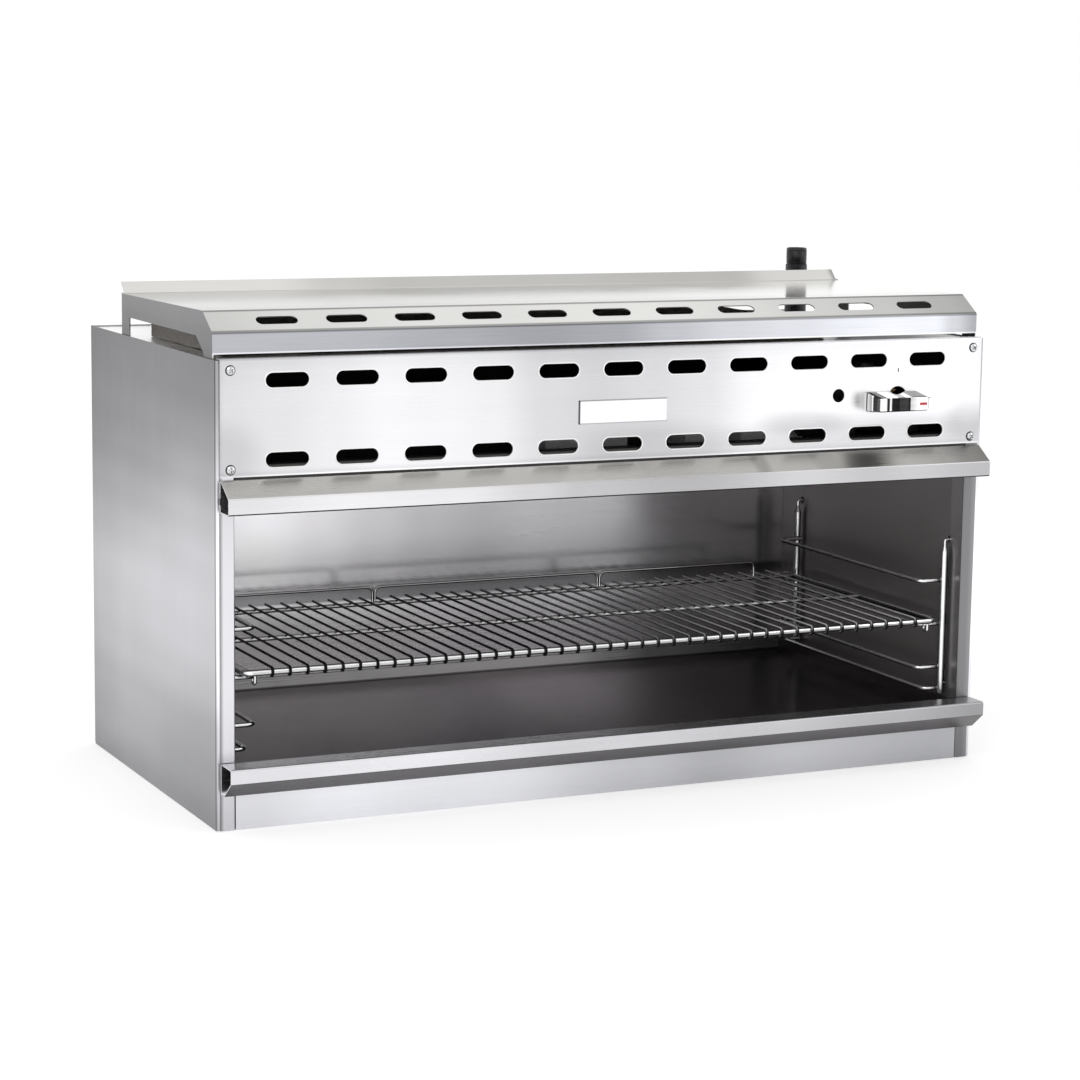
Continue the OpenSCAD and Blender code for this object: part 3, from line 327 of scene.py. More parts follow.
# Painted highlight: the slots' rolled rims are near white all round.
rim_highlight_steel = steel("slot_rim_highlight", [
    ("Z", [(366, 0.99), (486, 1.0)])], rough=0.5, streak=0.01, metal=0.8)
pan_lip_steel = steel("pan_rear_lip", [
    ("X", [(-435, 1.0), (130, 1.0), (200, 0.6), (250, 0.3), (436, 0.12)]),
    ("Z", [(54, 0.2), (55.2, 0.3), (56.2, 1.0), (68, 1.0)])], rough=0.3, metal=0.25)
return_steel = steel("jamb_return", [("Z", [(0, 0.30), (366, 0.34)])], grain="Z",
                     tint=(1.03, 0.99, 0.99), rough=0.3, streak=0.03, metal=0.8)
inner_steel = steel("inner_aluminised", [
    ("Z", [(0, 0.50), (500, 0.56)])], tint=(0.99, 1.0, 1.01), rough=0.42, streak=0.05)
sooty_steel = steel("burner_sooty", [
    ("Z", [(350, 0.03), (441, 0.05)])], tint=(1.02, 1.0, 0.97), rough=0.5, streak=0.06)
# Painted shade: a near-black finish for faces that lie in shade, in the header, under the canopy,
# behind the handle and inside the cover.
painted_shade_steel = steel("painted_shade_inside", [
    ("Z", [(0, 0.05), (540, 0.06)])], tint=(1.03, 0.98, 0.97), rough=0.5)
# Painted light on the deck: bright at its left end, darker towards the right.
deck_steel = steel("deck_painted_light", [
    ("X", [(-440, 0.95), (-380, 0.8), (-250, 0.45), (440, 0.35)])], rough=0.3)
back_steel = steel("back_aluminised", [
    ("Z", [(0, 0.52), (240, 0.62), (485, 0.56)])], tint=(0.99, 1.0, 1.01), rough=0.42)
print("finishes", len(bpy.data.materials))

# %% [markdown]
# ## Chrome, screws, iron, brass, fibre and ceramic
# These are the finishes of the small pieces. Chrome needs almost no pattern, but a little
# waviness keeps a wire from looking computed. Cast iron and painted pipe are dark and uneven,
# so their bump comes from coarser noise. Fibre is matt and speckled.

# %% Other finishes
def finish(name, colour, metallic, rough, scale, vary, rough_vary=0.08, bump=0.1, depth=0.3,
           stretch=(1, 1, 1), coat=0.0, reflection_painted=False):
    """A speckled or plain finish. The scale is that of its noise, vary and rough_vary are how
    far colour and roughness go up and down with it, and depth is the bump's, in millimetres."""
    material, tree = new_material(name)
    shader = tree.nodes["Principled BSDF"]
    where = put(tree, "ShaderNodeTexCoord").outputs["Object"]
    noise = grains(tree, where, stretch, scale, 5)
    factor = spread(tree, noise, 1 - vary, 1 + vary)
    paint = product(tree, (*colour, 1), xyz(tree, factor, factor, factor))
    # A chrome finish multiplies its colour by the painted reflection on each corner: near black,
    # with painted highlights.
    if reflection_painted:
        painted_reflection = put(tree, "ShaderNodeAttribute", attribute_name="painted_reflection").outputs["Color"]
        paint = product(tree, paint, painted_reflection)
        shader.inputs["Specular IOR Level"].default_value = 0
    tree.links.new(paint, shader.inputs["Base Color"])
    tree.links.new(spread(tree, noise, rough - rough_vary, rough + rough_vary),
                   shader.inputs["Roughness"])
    shader.inputs["Metallic"].default_value = metallic
    shader.inputs["Coat Weight"].default_value = coat
    dents = put(tree, "ShaderNodeBump", {"Strength": bump, "Distance": depth * MM,
                                         "Height": noise}).outputs[0]
    tree.links.new(dents, shader.inputs["Normal"])
    return material


# After the colour: metallic, rough, scale, vary, rough_vary, bump, depth.
wire_chrome = finish("wire_chrome", (1.0, 1.0, 1.01), 0.45, 0.12, 90, 0.05, 0.03, 0.15, 0.1,
                     reflection_painted=True)
rod_chrome = finish("rod_chrome", (1.0, 1.0, 1.01), 0.8, 0.12, 90, 0.05, 0.03, 0.15, 0.1,
                    reflection_painted=True)
screw_steel = finish("screw_steel", (0.66, 0.67, 0.69), 1.0, 0.2, 700, 0.08, 0.06, 0.1, 0.05)
# Painted shade: the dark finish on the rim and in the cross of each panel screw's head.
dark_steel = finish("screw_painted_shade", (0.05, 0.05, 0.055), 1.0, 0.35, 500, 0.1)
# The bare plate's dark lines round its edges are painted shade.
plate_metal = steel("plate_metal", [
    ("X", [(-52.5, 0.10), (-51.6, 0.12), (-51.0, 0.97), (51.6, 0.97), (52.5, 0.55)]),
    ("Z", [(405.5, 0.45), (406.4, 0.5), (407.0, 1.0), (429.6, 1.0), (430.2, 0.35), (431.1, 0.4)])],
    tint=(0.99, 0.99, 1.02), rough=0.3, streak=0.01, cloud=0.01)
cast_iron = finish("cast_iron", (0.035, 0.034, 0.036), 0.4, 0.5, 380, 0.35, 0.12, 0.6, 0.5)
black_pipe = finish("black_pipe", (0.022, 0.022, 0.025), 0.3, 0.34, 160, 0.5, 0.12, 0.25, 0.2,
                    (1, 1, 0.12))
brass = finish("valve_brass", (0.66, 0.47, 0.20), 1.0, 0.3, 220, 0.1, 0.08, 0.15, 0.2)
cast_aluminium = finish("cast_aluminium", (0.55, 0.56, 0.57), 1.0, 0.45, 420, 0.12, 0.08, 0.4,
                        0.3)
ceramic = finish("tile_ceramic", (0.80, 0.72, 0.60), 0.0, 0.85, 240, 0.08, 0.05, 0.3, 0.3)
fibre = finish("fibre", (0.30, 0.28, 0.26), 0.0, 0.95, 520, 0.35, 0.04, 0.8, 1.0)
pale_fibre = finish("pale_fibre", (0.93, 0.93, 0.95), 0.0, 0.9, 620, 0.08, 0.04, 0.5, 0.6)
wool = finish("mineral_wool", (0.62, 0.55, 0.36), 0.0, 0.95, 300, 0.3, 0.04, 0.8, 1.0)
mark_black = finish("mark_black", (0.03, 0.03, 0.032), 0.0, 0.5, 300, 0.1)
mark_red = finish("mark_red", (0.62, 0.02, 0.03), 0.0, 0.3, 300, 0.05, 0.05, 0.02, 0.1, coat=0.4)
print("finishes", len(bpy.data.materials))

# %% [markdown]
# ## Sheet edges
# A sheet part is right as it comes: its planes are exact. But its mesh is loose triangles with
# perfectly sharp rims, and no real sheet has those. So each one is copied, its doubles are
# merged, its rims get a fine bevel that catches light, and its folds are shaded smooth. The
# copy then stands for the node.

# %% Copy a node and ease its edges
def copy_of(node):
    mesh = frame["nodes"][node].data.copy()
    mesh.materials.clear()
    form = bmesh.new()
    form.from_mesh(mesh)
    bmesh.ops.remove_doubles(form, verts=form.verts, dist=2e-6)
    bmesh.ops.dissolve_degenerate(form, edges=form.edges, dist=1e-6)
    form.to_mesh(mesh)
    form.free()
    return mesh


def show(mesh, name, node, material, sides=()):
    """Puts a finished mesh in the scene in place of a node, with a finish for each side."""
    piece = bpy.data.objects.new(name, mesh)
    bpy.context.scene.collection.objects.link(piece)
    mesh.materials.clear()
    mesh.materials.append(material)
    for other, test in sides:
        mesh.materials.append(other)
        index = len(mesh.materials) - 1
        for face in mesh.polygons:
            if test(face.normal, face.center):
                face.material_index = index
    nodes = [node] if isinstance(node, str) else node
    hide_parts(*nodes)
    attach(piece, frame["nodes"][nodes[0]]["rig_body"])
    return piece


RIM_SEGMENTS, FLAT_WEIGHT = 2, 100


def ease(piece, width=0.25, angle=28):
    """A fine bevel on the sharp rims, with smooth shading over the folds. The large flat faces
    weigh most in the normals, so a flat stays flat up to its fold."""
    for face in piece.data.polygons:
        face.use_smooth = True
    if width:
        bevel = piece.modifiers.new("rim", "BEVEL")
        bevel.width = width * MM
        bevel.segments = RIM_SEGMENTS
        bevel.limit_method = "ANGLE"
        bevel.angle_limit = math.radians(angle)
        bevel.use_clamp_overlap = True
        bevel.harden_normals = True
    piece.data.set_sharp_from_angle(angle=math.radians(angle))
    if width:
        weigh = piece.modifiers.new("flats", "WEIGHTED_NORMAL")
        weigh.keep_sharp = True
        weigh.weight = FLAT_WEIGHT
    return piece


# %% [markdown]
# ## Which finish each sheet part gets
# A folded part often shows two or three faces to the room, and each gets its own painted
# light, as the room would light it; faces turned inwards or underneath get painted shade. The
# faces are told apart by where they point, so one part can carry several finishes.

# %% Folded sheets
def faces(direction, least):
    """Picks the faces that point one way."""
    aim = Vector(direction).normalized()
    return lambda normal, centre: normal.dot(aim) > least


cover_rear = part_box("top_cover")[1].y - 12.5 * MM
cover_foot = 510 * MM
canopy_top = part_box("canopy")[1].z - 2 * MM
# Faces of the canopy that turn back or down, below its top, get painted shade.
inward = lambda n, c: (n.y > 0.3 or n.z < -0.3) and c.z < canopy_top
sheet_parts = {
    "left_side_panel": (side_steel, ()),
    "right_side_panel": (side_steel, ()),
    "left_jamb": (jamb_steel, ()),
    "right_jamb": (jamb_steel, [(return_steel, lambda n, c: n.x < -0.9)]),
    "plinth": (plinth_steel, ()),
    "front_header": (painted_shade_steel, ()),
    "canopy": (canopy_face_steel, [(canopy_slope_steel, faces((0, -0.57, 0.82), 0.97)),
                                   (painted_shade_steel, inward)]),
    "pan_handle": (handle_steel, [(painted_shade_steel, lambda n, c: n.y > 0.3),
                                  (handle_shade_steel, faces((0, -0.62, -0.78), 0.9))]),
    "pan_tray": (pan_steel, [(pan_lip_steel, lambda n, c: n.y < -0.9 and c.y > 0)]),
    "cavity_back": (cavity_back_steel, ()),
    "cavity_left_wall": (cavity_side_steel, ()),
    "cavity_right_wall": (cavity_side_steel, ()),
    "cavity_floor": (pan_steel, ()),
    "burner_ceiling": (inner_steel, ()),
    "back_panel": (back_steel, ()),
    "base_pan": (back_steel, ()),
    "top_deck": (deck_steel, ()),
    "left_pan_runner": (inner_steel, ()),
    "right_pan_runner": (inner_steel, ()),
    "burner_box": (sooty_steel, ()),
    "manifold_brackets": (sooty_steel, ()),
    "bare_plate": (plate_metal, ()),
    "top_cover": (top_steel, [
        (strip_steel, lambda n, c: n.y < -0.9),
        (slope_steel, lambda n, c: n.y < -0.3 and n.y > -0.9),
        (cheek_steel, lambda n, c: abs(n.x) > 0.9 or (abs(n.z) > 0.9 and c.z < cover_foot)),
        (painted_shade_steel, lambda n, c: n.x < -0.9 and c.x > 0 or n.x > 0.9 and c.x < 0),
        (flange_steel, lambda n, c: c.y > cover_rear)]),
}
for node, (material, sides) in sheet_parts.items():
    ease(show(copy_of(node), node + "_sheet", node, material, sides=sides))
print("sheet parts", len(sheet_parts))

# %% [markdown]
# ## Small solid parts
# Valves, elbows and regulators are cast or turned lumps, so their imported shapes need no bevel.
# Each copy only gets smooth shading and the finish of its metal: brass for what meters gas,
# cast aluminium for the mixer and the regulator, black iron for pipes.

# %% Solid small parts
solid_parts = {
    "gas_valve": brass, "orifice_hood": brass, "pilot_valve": brass,
    "mixer_tube": cast_aluminium, "pressure_regulator": cast_aluminium,
    "manifold_cap": cast_iron, "manifold_elbow": cast_iron, "inlet_elbow": cast_iron,
    "manifold_pipe": black_pipe, "supply_pipe": black_pipe,
    "pilot_burner": inner_steel, "valve_stem": screw_steel, "knob_set_screw": screw_steel,
    "dial_tick": mark_black, "knob_mark": mark_red, "pilot_tube": cast_aluminium,
}
for node, material in solid_parts.items():
    ease(show(copy_of(node), node + "_part", node, material), width=0)
print("small parts", len(solid_parts))

# %% [markdown]
# ## Shapes that follow a rule
# Punched slots, rods, welds, wires, threads and screws are all one small shape repeated or
# swept along a path. Modelling each by hand would be slow and uneven. Geometry Nodes describe
# the rule once, with its sizes as named inputs. The base object carries only points or lines,
# the tree grows the form, and the result is turned into a plain mesh, because the modifier
# itself wouldn't survive an export.

# %% Geometry Nodes helpers
def new_tree(name, inputs):
    """A tree with a geometry input, the named inputs, and a geometry output."""
    tree = bpy.data.node_groups.new(name, "GeometryNodeTree")
    tree.interface.new_socket("Geometry", in_out="INPUT", socket_type="NodeSocketGeometry")
    for label, kind, value in inputs:
        socket = tree.interface.new_socket(label, in_out="INPUT", socket_type="NodeSocket" + kind)
        if value is not None:
            socket.default_value = value
    tree.interface.new_socket("Geometry", in_out="OUTPUT", socket_type="NodeSocketGeometry")
    return tree, put(tree, "NodeGroupInput").outputs, put(tree, "NodeGroupOutput").inputs


def close_tree(tree, geometry, ports, result):
    """Every tree ends the same way: instances made real, then the finish."""
    real = put(tree, "GeometryNodeRealizeInstances", {0: geometry}).outputs[0]
    done = put(tree, "GeometryNodeSetMaterial", {0: real, "Material": ports["Material"]})
    tree.links.new(done.outputs[0], result[0])


def grow(tree, base, **values):
    """Runs a tree on a base mesh and returns the result as a plain mesh."""
    holder = bpy.data.objects.new("maker", base)
    bpy.context.scene.collection.objects.link(holder)
    modifier = holder.modifiers.new("maker", "NODES")
    modifier.node_group = tree
    for item in tree.interface.items_tree:
        if item.in_out == "INPUT" and item.name in values:
            modifier[item.identifier] = values[item.name]
    holder.update_tag()
    graph = bpy.context.evaluated_depsgraph_get()
    mesh = bpy.data.meshes.new_from_object(holder.evaluated_get(graph))
    holder.modifiers.remove(modifier)
    bpy.data.objects.remove(holder)
    return mesh


def circle(tree, sides, radius):
    return put(tree, "GeometryNodeCurvePrimitiveCircle", {"Resolution": sides, "Radius": radius},
               mode="RADIUS").outputs[0]


def swept(tree, line, profile, caps=True, **more):
    """Sweeps a profile along a line."""
    return put(tree, "GeometryNodeCurveToMesh", {"Curve": line, "Profile Curve": profile,
                                                 "Fill Caps": caps, **more}).outputs[0]


def gathered(tree, *parts):
    whole = put(tree, "GeometryNodeJoinGeometry")
    for part in parts:
        tree.links.new(part, whole.inputs[0])
    return whole.outputs[0]


def named(tree, name, kind="FLOAT"):
    """Reads what each point carries under a name."""
    return put(tree, "GeometryNodeInputNamedAttribute", {"Name": name}, data_type=kind).outputs[0]


def finished(form, name):
    """Turns a bmesh into a mesh."""
    mesh = bpy.data.meshes.new(name)
    form.to_mesh(mesh)
    form.free()
    return mesh


def join(name, *meshes):
    form = bmesh.new()
    for mesh in meshes:
        form.from_mesh(mesh)
    return finished(form, name)


half_depth = -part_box("left_side_panel")[0].y / MM


def at(x, depth, z):
    """A place in millimetres, with its depth behind the cabinet's front plane, in metres."""
    return Vector((x, depth - half_depth, z)) * MM


print("the cabinet is", round(2 * half_depth), "mm deep")

# %% [markdown]
# ## Punched sheet
# The control panel is a rectangle with two rows of long holes. A press makes them before the
# sheet is folded. The tree does the same: one obround is placed at every hole's centre and
# takes its length and height from that point, the outline is filled round them, and the sheet
# then gets its thickness. The points are all the script has to give.

# %% Tree for a punched sheet
def obrounds(tree, ports):
    """One long hole's outline for each point. The point says how long and how high it is."""
    half_step = maths(tree, "DIVIDE", math.pi, ports["Arc points"])
    ring = put(tree, "GeometryNodeTransform", {0: circle(tree, ports["Arc points"], 0.5),
                                               "Rotation": xyz(tree, z=half_step)}).outputs[0]
    own = put(tree, "GeometryNodeInputPosition").outputs[0]
    ring = put(tree, "GeometryNodeStoreNamedAttribute", {0: ring, "Name": "rim", "Value": own},
               data_type="FLOAT_VECTOR", domain="POINT").outputs[0]
    middles = put(tree, "GeometryNodeStoreNamedAttribute",
                  {0: ports["Geometry"], "Name": "middle", "Value": own},
                  data_type="FLOAT_VECTOR", domain="POINT").outputs[0]
    rings = put(tree, "GeometryNodeInstanceOnPoints", {"Points": middles, "Instance": ring})
    rings = put(tree, "GeometryNodeRealizeInstances", {0: rings.outputs[0]}).outputs[0]
    rim = put(tree, "ShaderNodeSeparateXYZ", {0: named(tree, "rim", "FLOAT_VECTOR")}).outputs
    long, high = named(tree, "long"), named(tree, "high")
    spare = maths(tree, "MULTIPLY", maths(tree, "SUBTRACT", long, high), 0.5)
    x = maths(tree, "ADD", maths(tree, "MULTIPLY", rim[0], high),
              maths(tree, "MULTIPLY", maths(tree, "SIGN", rim[0]), spare))
    y = maths(tree, "MULTIPLY", rim[1], high)
    place = put(tree, "ShaderNodeVectorMath",
                {0: named(tree, "middle", "FLOAT_VECTOR"), 1: xyz(tree, x, y)},
                operation="ADD").outputs[0]
    return put(tree, "GeometryNodeSetPosition", {0: rings, "Position": place}).outputs[0]


def punched_sheet():
    tree, ports, result = new_tree("punched sheet", [
        ("Width", "Float", 1.0), ("Height", "Float", 0.1), ("Thickness", "Float", 0.001),
        ("Arc points", "Int", 32), ("Material", "Material", None)])
    rings = obrounds(tree, ports)
    edge = put(tree, "GeometryNodeCurvePrimitiveQuadrilateral",
               {"Width": ports["Width"], "Height": ports["Height"]}, mode="RECTANGLE").outputs[0]
    face = put(tree, "GeometryNodeFillCurve", {0: gathered(tree, edge, rings)},
               mode="TRIANGLES").outputs[0]
    thick = put(tree, "GeometryNodeExtrudeMesh", {"Mesh": face, "Offset Scale": ports["Thickness"],
                                                  "Individual": False}, mode="FACES").outputs[0]
    rear = put(tree, "GeometryNodeFlipFaces", {0: face}).outputs[0]
    joined = put(tree, "GeometryNodeMergeByDistance", {0: gathered(tree, thick, rear),
                                                       "Distance": 1e-6}).outputs[0]
    close_tree(tree, joined, ports, result)
    return tree


def pressed_rims():
    tree, ports, result = new_tree("pressed rims", [
        ("Wire", "Float", 0.0005), ("Arc points", "Int", 32), ("Material", "Material", None)])
    rims = swept(tree, obrounds(tree, ports), circle(tree, 6, ports["Wire"]), caps=False)
    close_tree(tree, rims, ports, result)
    return tree


def hole_points(holes):
    """One vertex for each hole: (x, y, length, height), in millimetres."""
    mesh = bpy.data.meshes.new("holes")
    mesh.from_pydata([Vector((h[0], h[1], 0)) * MM for h in holes], [], [])
    for name, column in (("long", 2), ("high", 3)):
        values = mesh.attributes.new(name, "FLOAT", "POINT")
        values.data.foreach_set("value", [h[column] * MM for h in holes])
    return mesh


punched = punched_sheet()
print("punched sheet nodes", len(punched.nodes))

# %% [markdown]
# ## The control panel
# The panel takes its box from the frame and its holes from a few sizes: two rows of eleven
# slots, and round holes for the knob's stem, the pilot valve and four screws. The press leaves a
# rolled rim round each slot, a thin wire along the same outline, and its near-white steel is a
# painted highlight. The sheet's top is folded back to the deck, and that fold is added row by row.

# %% Control panel
panel_low, panel_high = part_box("control_panel")
panel_z, panel_top = panel_low.z / MM, panel_high.z / MM
sheet = 1.2
bend = 2.4
face_depth = panel_low.y / MM + half_depth
slot_pitch, slot_l, slot_h = 76.2, 47.2, 15.4
slots = 11
knob_x, knob_z = 343.5, panel_z + 56
pilot_x, pilot_z = 267.0, panel_z + 59.7
screw_x = 441.8
screw_rows = (panel_top - 11.6, panel_z + 7.7)
slot_rows = (panel_top - 22.6, panel_z + 16.5)
knob_hole, pilot_hole, screw_hole = 24, 15, 4.2
flat_top = panel_top - bend
middle_z = (panel_z + flat_top) / 2
holes = [((i - slots // 2) * slot_pitch, z, slot_l, slot_h)
         for z in slot_rows for i in range(slots)]
holes += [(knob_x, knob_z, knob_hole, knob_hole), (pilot_x, pilot_z, pilot_hole, pilot_hole)]
holes += [(s * screw_x, z, screw_hole, screw_hole) for s in (-1, 1) for z in screw_rows]
arc_points = 40
panel = grow(punched, hole_points([(x, z - middle_z, l, h) for x, z, l, h in holes]),
             **{"Width": panel_high.x - panel_low.x, "Height": (flat_top - panel_z) * MM,
                "Thickness": sheet * MM, "Arc points": arc_points, "Material": panel_steel})
upright = Matrix.Rotation(math.pi / 2, 4, "X")
panel.transform(Matrix.Translation(at(0, face_depth + sheet, middle_z)) @ upright)
rim_r, rim_out = 0.75, 0.8
rim_holes = [(x, z - middle_z, l + rim_out, h + rim_out) for x, z, l, h in holes[:2 * slots]]
rims = grow(pressed_rims(), hole_points(rim_holes),
            **{"Wire": rim_r * MM, "Arc points": arc_points, "Material": rim_highlight_steel})
rims.transform(Matrix.Translation(at(0, face_depth, middle_z)) @ upright)


def add_fold(mesh, centre, start, stop, inner, outer, half_width, tail=0.0, steps=8):
    """Adds a fold and a straight tail, whose first edges lie on the sheet's own edge."""
    form = bmesh.new()
    form.from_mesh(mesh)
    rows = []
    for k in range(steps + 1):
        angle = math.radians(start + (stop - start) * k / steps)
        way = Vector((0, math.cos(angle), math.sin(angle)))
        rows.append((centre + way * outer * MM, centre + way * inner * MM))
    if tail:
        rows.append(tuple(p + Vector((0, tail * MM, 0)) for p in rows[-1]))
    rings = []
    for outer_point, inner_point in rows:
        corners = ((-1, outer_point), (1, outer_point), (1, inner_point), (-1, inner_point))
        rings.append([form.verts.new(p + Vector((s * half_width, 0, 0))) for s, p in corners])
    for a, b in zip(rings, rings[1:]):
        for i in range(4):
            form.faces.new((a[i], a[(i + 1) % 4], b[(i + 1) % 4], b[i]))
    form.faces.new(rings[-1])
    bmesh.ops.remove_doubles(form, verts=form.verts, dist=2e-6)
    seam = [f for f in form.faces
            if abs(f.normal.z) > 0.9 and abs(f.calc_center_median().z - centre.z) < 1e-5]
    bmesh.ops.delete(form, geom=seam, context="FACES_ONLY")
    bmesh.ops.recalc_face_normals(form, faces=form.faces)
    form.to_mesh(mesh)
    form.free()


add_fold(panel, at(0, face_depth + bend, flat_top), 180, 90, bend - sheet, bend,
         panel_high.x, tail=(panel_high.y / MM + half_depth) - face_depth - bend)
panel = join("panel", panel, rims)
rim_line = (face_depth - half_depth - 0.05) * MM
ease(show(panel, "control_panel_punched", "control_panel", panel_steel,
          sides=[(rim_highlight_steel, lambda n, c: c.y < rim_line)]), width=0, angle=35)
print("panel holes", len(holes))

# %% [markdown]
# ## Rods
# The rack, its fence and the guides at the sides are bent from round rod. A rod is a line with
# rounded corners and a circle swept along it. The base mesh holds the corners, and each corner
# says how thick the rod is there and how wide its bend is, so a post can taper to a thin tip.

# %% Tree for bent rods
def bent_rods():
    tree, ports, result = new_tree("bent rods", [
        ("Sides", "Int", 20), ("Bend steps", "Int", 6), ("Material", "Material", None)])
    line = put(tree, "GeometryNodeMeshToCurve", {0: ports["Geometry"]}).outputs[0]
    line = put(tree, "GeometryNodeFilletCurve", {0: line, "Count": ports["Bend steps"],
                                                 "Radius": named(tree, "bend"),
                                                 "Limit Radius": True}, mode="POLY").outputs[0]
    rod = swept(tree, line, circle(tree, ports["Sides"], 1.0), Scale=named(tree, "thick"))
    close_tree(tree, rod, ports, result)
    return tree


def rod_lines(rods):
    """Lines for the tree. A rod is (points, radius or radii, bend), in millimetres."""
    points, edges, thick, bends = [], [], [], []
    for path, radius, bend_at in rods:
        first = len(points)
        points += path
        edges += [(first + i, first + i + 1) for i in range(len(path) - 1)]
        thick += radius if isinstance(radius, list) else [radius] * len(path)
        bends += [bend_at] * len(path)
    mesh = bpy.data.meshes.new("lines")
    mesh.from_pydata(points, edges, [])
    for name, values in (("thick", thick), ("bend", bends)):
        carried = mesh.attributes.new(name, "FLOAT", "POINT")
        carried.data.foreach_set("value", [v * MM for v in values])
    return mesh


rods = bent_rods()
print("bent rod nodes", len(rods.nodes))

# %% [markdown]
# ## What a chrome rod shows
# In a studio a chrome rod is black with a thin white line, because it mirrors one lamp and
# otherwise dark walls. This room is white all round, so that line would drown. So the black and
# the line are both painted. Rather than along the rod, the line is painted wherever the rod faces
# one of a few imagined lamps: each corner of the mesh keeps how squarely it faces one, and the
# finish reads that brightness as its colour.

# %% Painted reflections of the rods
# A lamp here is only the aim of a painted highlight: a direction, how squarely a surface must
# face it, and how soft the line's edge is.
GLINT_AIMS = (((0, -0.83, 0.56), 0.90, 0.05), ((-0.65, -0.76, 0), 0.60, 0.3),
         ((-0.55, 0, 0.83), 0.86, 0.08), ((0.75, 0, 0.66), 0.86, 0.08))
THIN_GLINT_AIMS = (((0, -0.92, 0.39), 0.93, 0.04), ((-0.45, -0.89, 0), 0.93, 0.04),
              ((-0.7, 0, 0.71), 0.8, 0.12))
WIRE_GLINT_AIMS = (((-0.75, 0, 0.66), 0.72, 0.15), ((0.82, 0, 0.57), 0.80, 0.1))
SHARP = 50
FADE = 320
BEND_STEPS = 6


def clamp(value):
    return min(1, max(0, value))


def painted_reflection(mesh, glint_aims, low=0.012, grow_from=None):
    """Stores a painted brightness on each corner: near black, with painted highlights where it
    faces an aim. They can grow towards the right, over FADE mm.
    """
    for face in mesh.polygons:
        face.use_smooth = True
    mesh.set_sharp_from_angle(angle=math.radians(SHARP))
    marks = mesh.attributes.new("painted_reflection", "FLOAT_COLOR", "CORNER")
    glint_aims = [(Vector(way).normalized(), square, soft) for way, square, soft in glint_aims]
    values = []
    for loop, corner in zip(mesh.loops, mesh.corner_normals):
        value = max(clamp((corner.vector.dot(way) - square) / soft) for way, square, soft in glint_aims)
        if grow_from is not None:
            value *= clamp((mesh.vertices[loop.vertex_index].co.x / MM - grow_from) / FADE)
        value = low + (1 - low) * value
        values += [value, value, value, 1]
    marks.data.foreach_set("color", values)
    return mesh


def rod_piece(name, node, paths, material, sides=20, glint_aims=GLINT_AIMS):
    mesh = grow(rods, rod_lines(paths), **{"Sides": sides, "Bend steps": BEND_STEPS,
                                           "Material": material})
    return ease(show(painted_reflection(mesh, glint_aims), name, node, material), width=0, angle=SHARP)


print("lamps that show in chrome", len(GLINT_AIMS), len(THIN_GLINT_AIMS), len(WIRE_GLINT_AIMS))

# %% [markdown]
# ## The rack's frame
# One thick rod makes three sides of the frame, and two thinner ones cross it. A low fence of
# three bent rods stops dishes at the back, and a small hook under each front corner keeps the
# rack on its rungs. Their sizes hang together, so each place is worked out from the radii.

# %% Rack frame, fence and hooks
frame_r, cross_r, wire_r, fence_r, hook_r = 3.25, 2.5, 1.4, 1.6, 1.75
frame_bend, fence_bend, hook_bend = 9, 7, 3
hook_drop, hook_reach, hook_lip, hook_clear = 8.5, 7.45, 4.5, 0.3
seat = 0.02      # between two rods that are welded together
rack_low, rack_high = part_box("rack_frame")
rack_half = rack_high.x / MM - frame_r
rack_z = rack_low.z / MM + frame_r
rack_front = rack_low.y / MM + half_depth + frame_r
rack_end = rack_high.y / MM + half_depth
rack_mid, rack_rear = 188, rack_end - 20
cross_z = rack_z + frame_r - cross_r
grid_z = rack_z + frame_r + seat + wire_r
wire_pitch = 19.5
rod_piece("rack_frame_rods", "rack_frame", [
    ([at(-rack_half, rack_end, rack_z), at(-rack_half, rack_front, rack_z),
      at(rack_half, rack_front, rack_z), at(rack_half, rack_end, rack_z)], frame_r, frame_bend),
    *[([at(-rack_half, d, cross_z), at(rack_half, d, cross_z)], cross_r, 0)
      for d in (rack_mid, rack_rear)],
], rod_chrome, sides=28)
inner, outer = 7.5 * wire_pitch, 18.5 * wire_pitch
step = fence_r + seat
foot = cross_z + cross_r + seat
fence_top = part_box("rack_fence")[1].z / MM - fence_r
rod_piece("rack_fence_rods", "rack_fence", [
    ([at(a, rack_rear, foot), at(a, rack_rear, fence_top), at(b, rack_rear, fence_top),
      at(b, rack_rear, foot)], fence_r, fence_bend)
    for a, b in ((step - inner, inner - step), (inner + step, outer), (-outer, -inner - step))
], rod_chrome, sides=24, glint_aims=THIN_GLINT_AIMS)
hook_x = rack_half - frame_bend - hook_r - hook_clear
hook_low = rack_z - frame_r - hook_drop
hook_back = rack_front + hook_reach
rod_piece("rack_hook_rods", "rack_hooks", [
    ([at(s * hook_x, rack_front, rack_z - frame_r), at(s * hook_x, rack_front, hook_low),
      at(s * hook_x, hook_back, hook_low), at(s * hook_x, hook_back, hook_low + hook_lip)],
     hook_r, hook_bend)
    for s in (-1, 1)], rod_chrome, sides=14)
print("rack at", round(rack_z, 1), "mm")

# %% [markdown]
# ## The guides at the sides
# Two posts stand at each wall, tapered at the top and pegged into the wall, and carry rungs at
# four heights. A rod's radius may change along its path, so the taper needs no shape of its own.

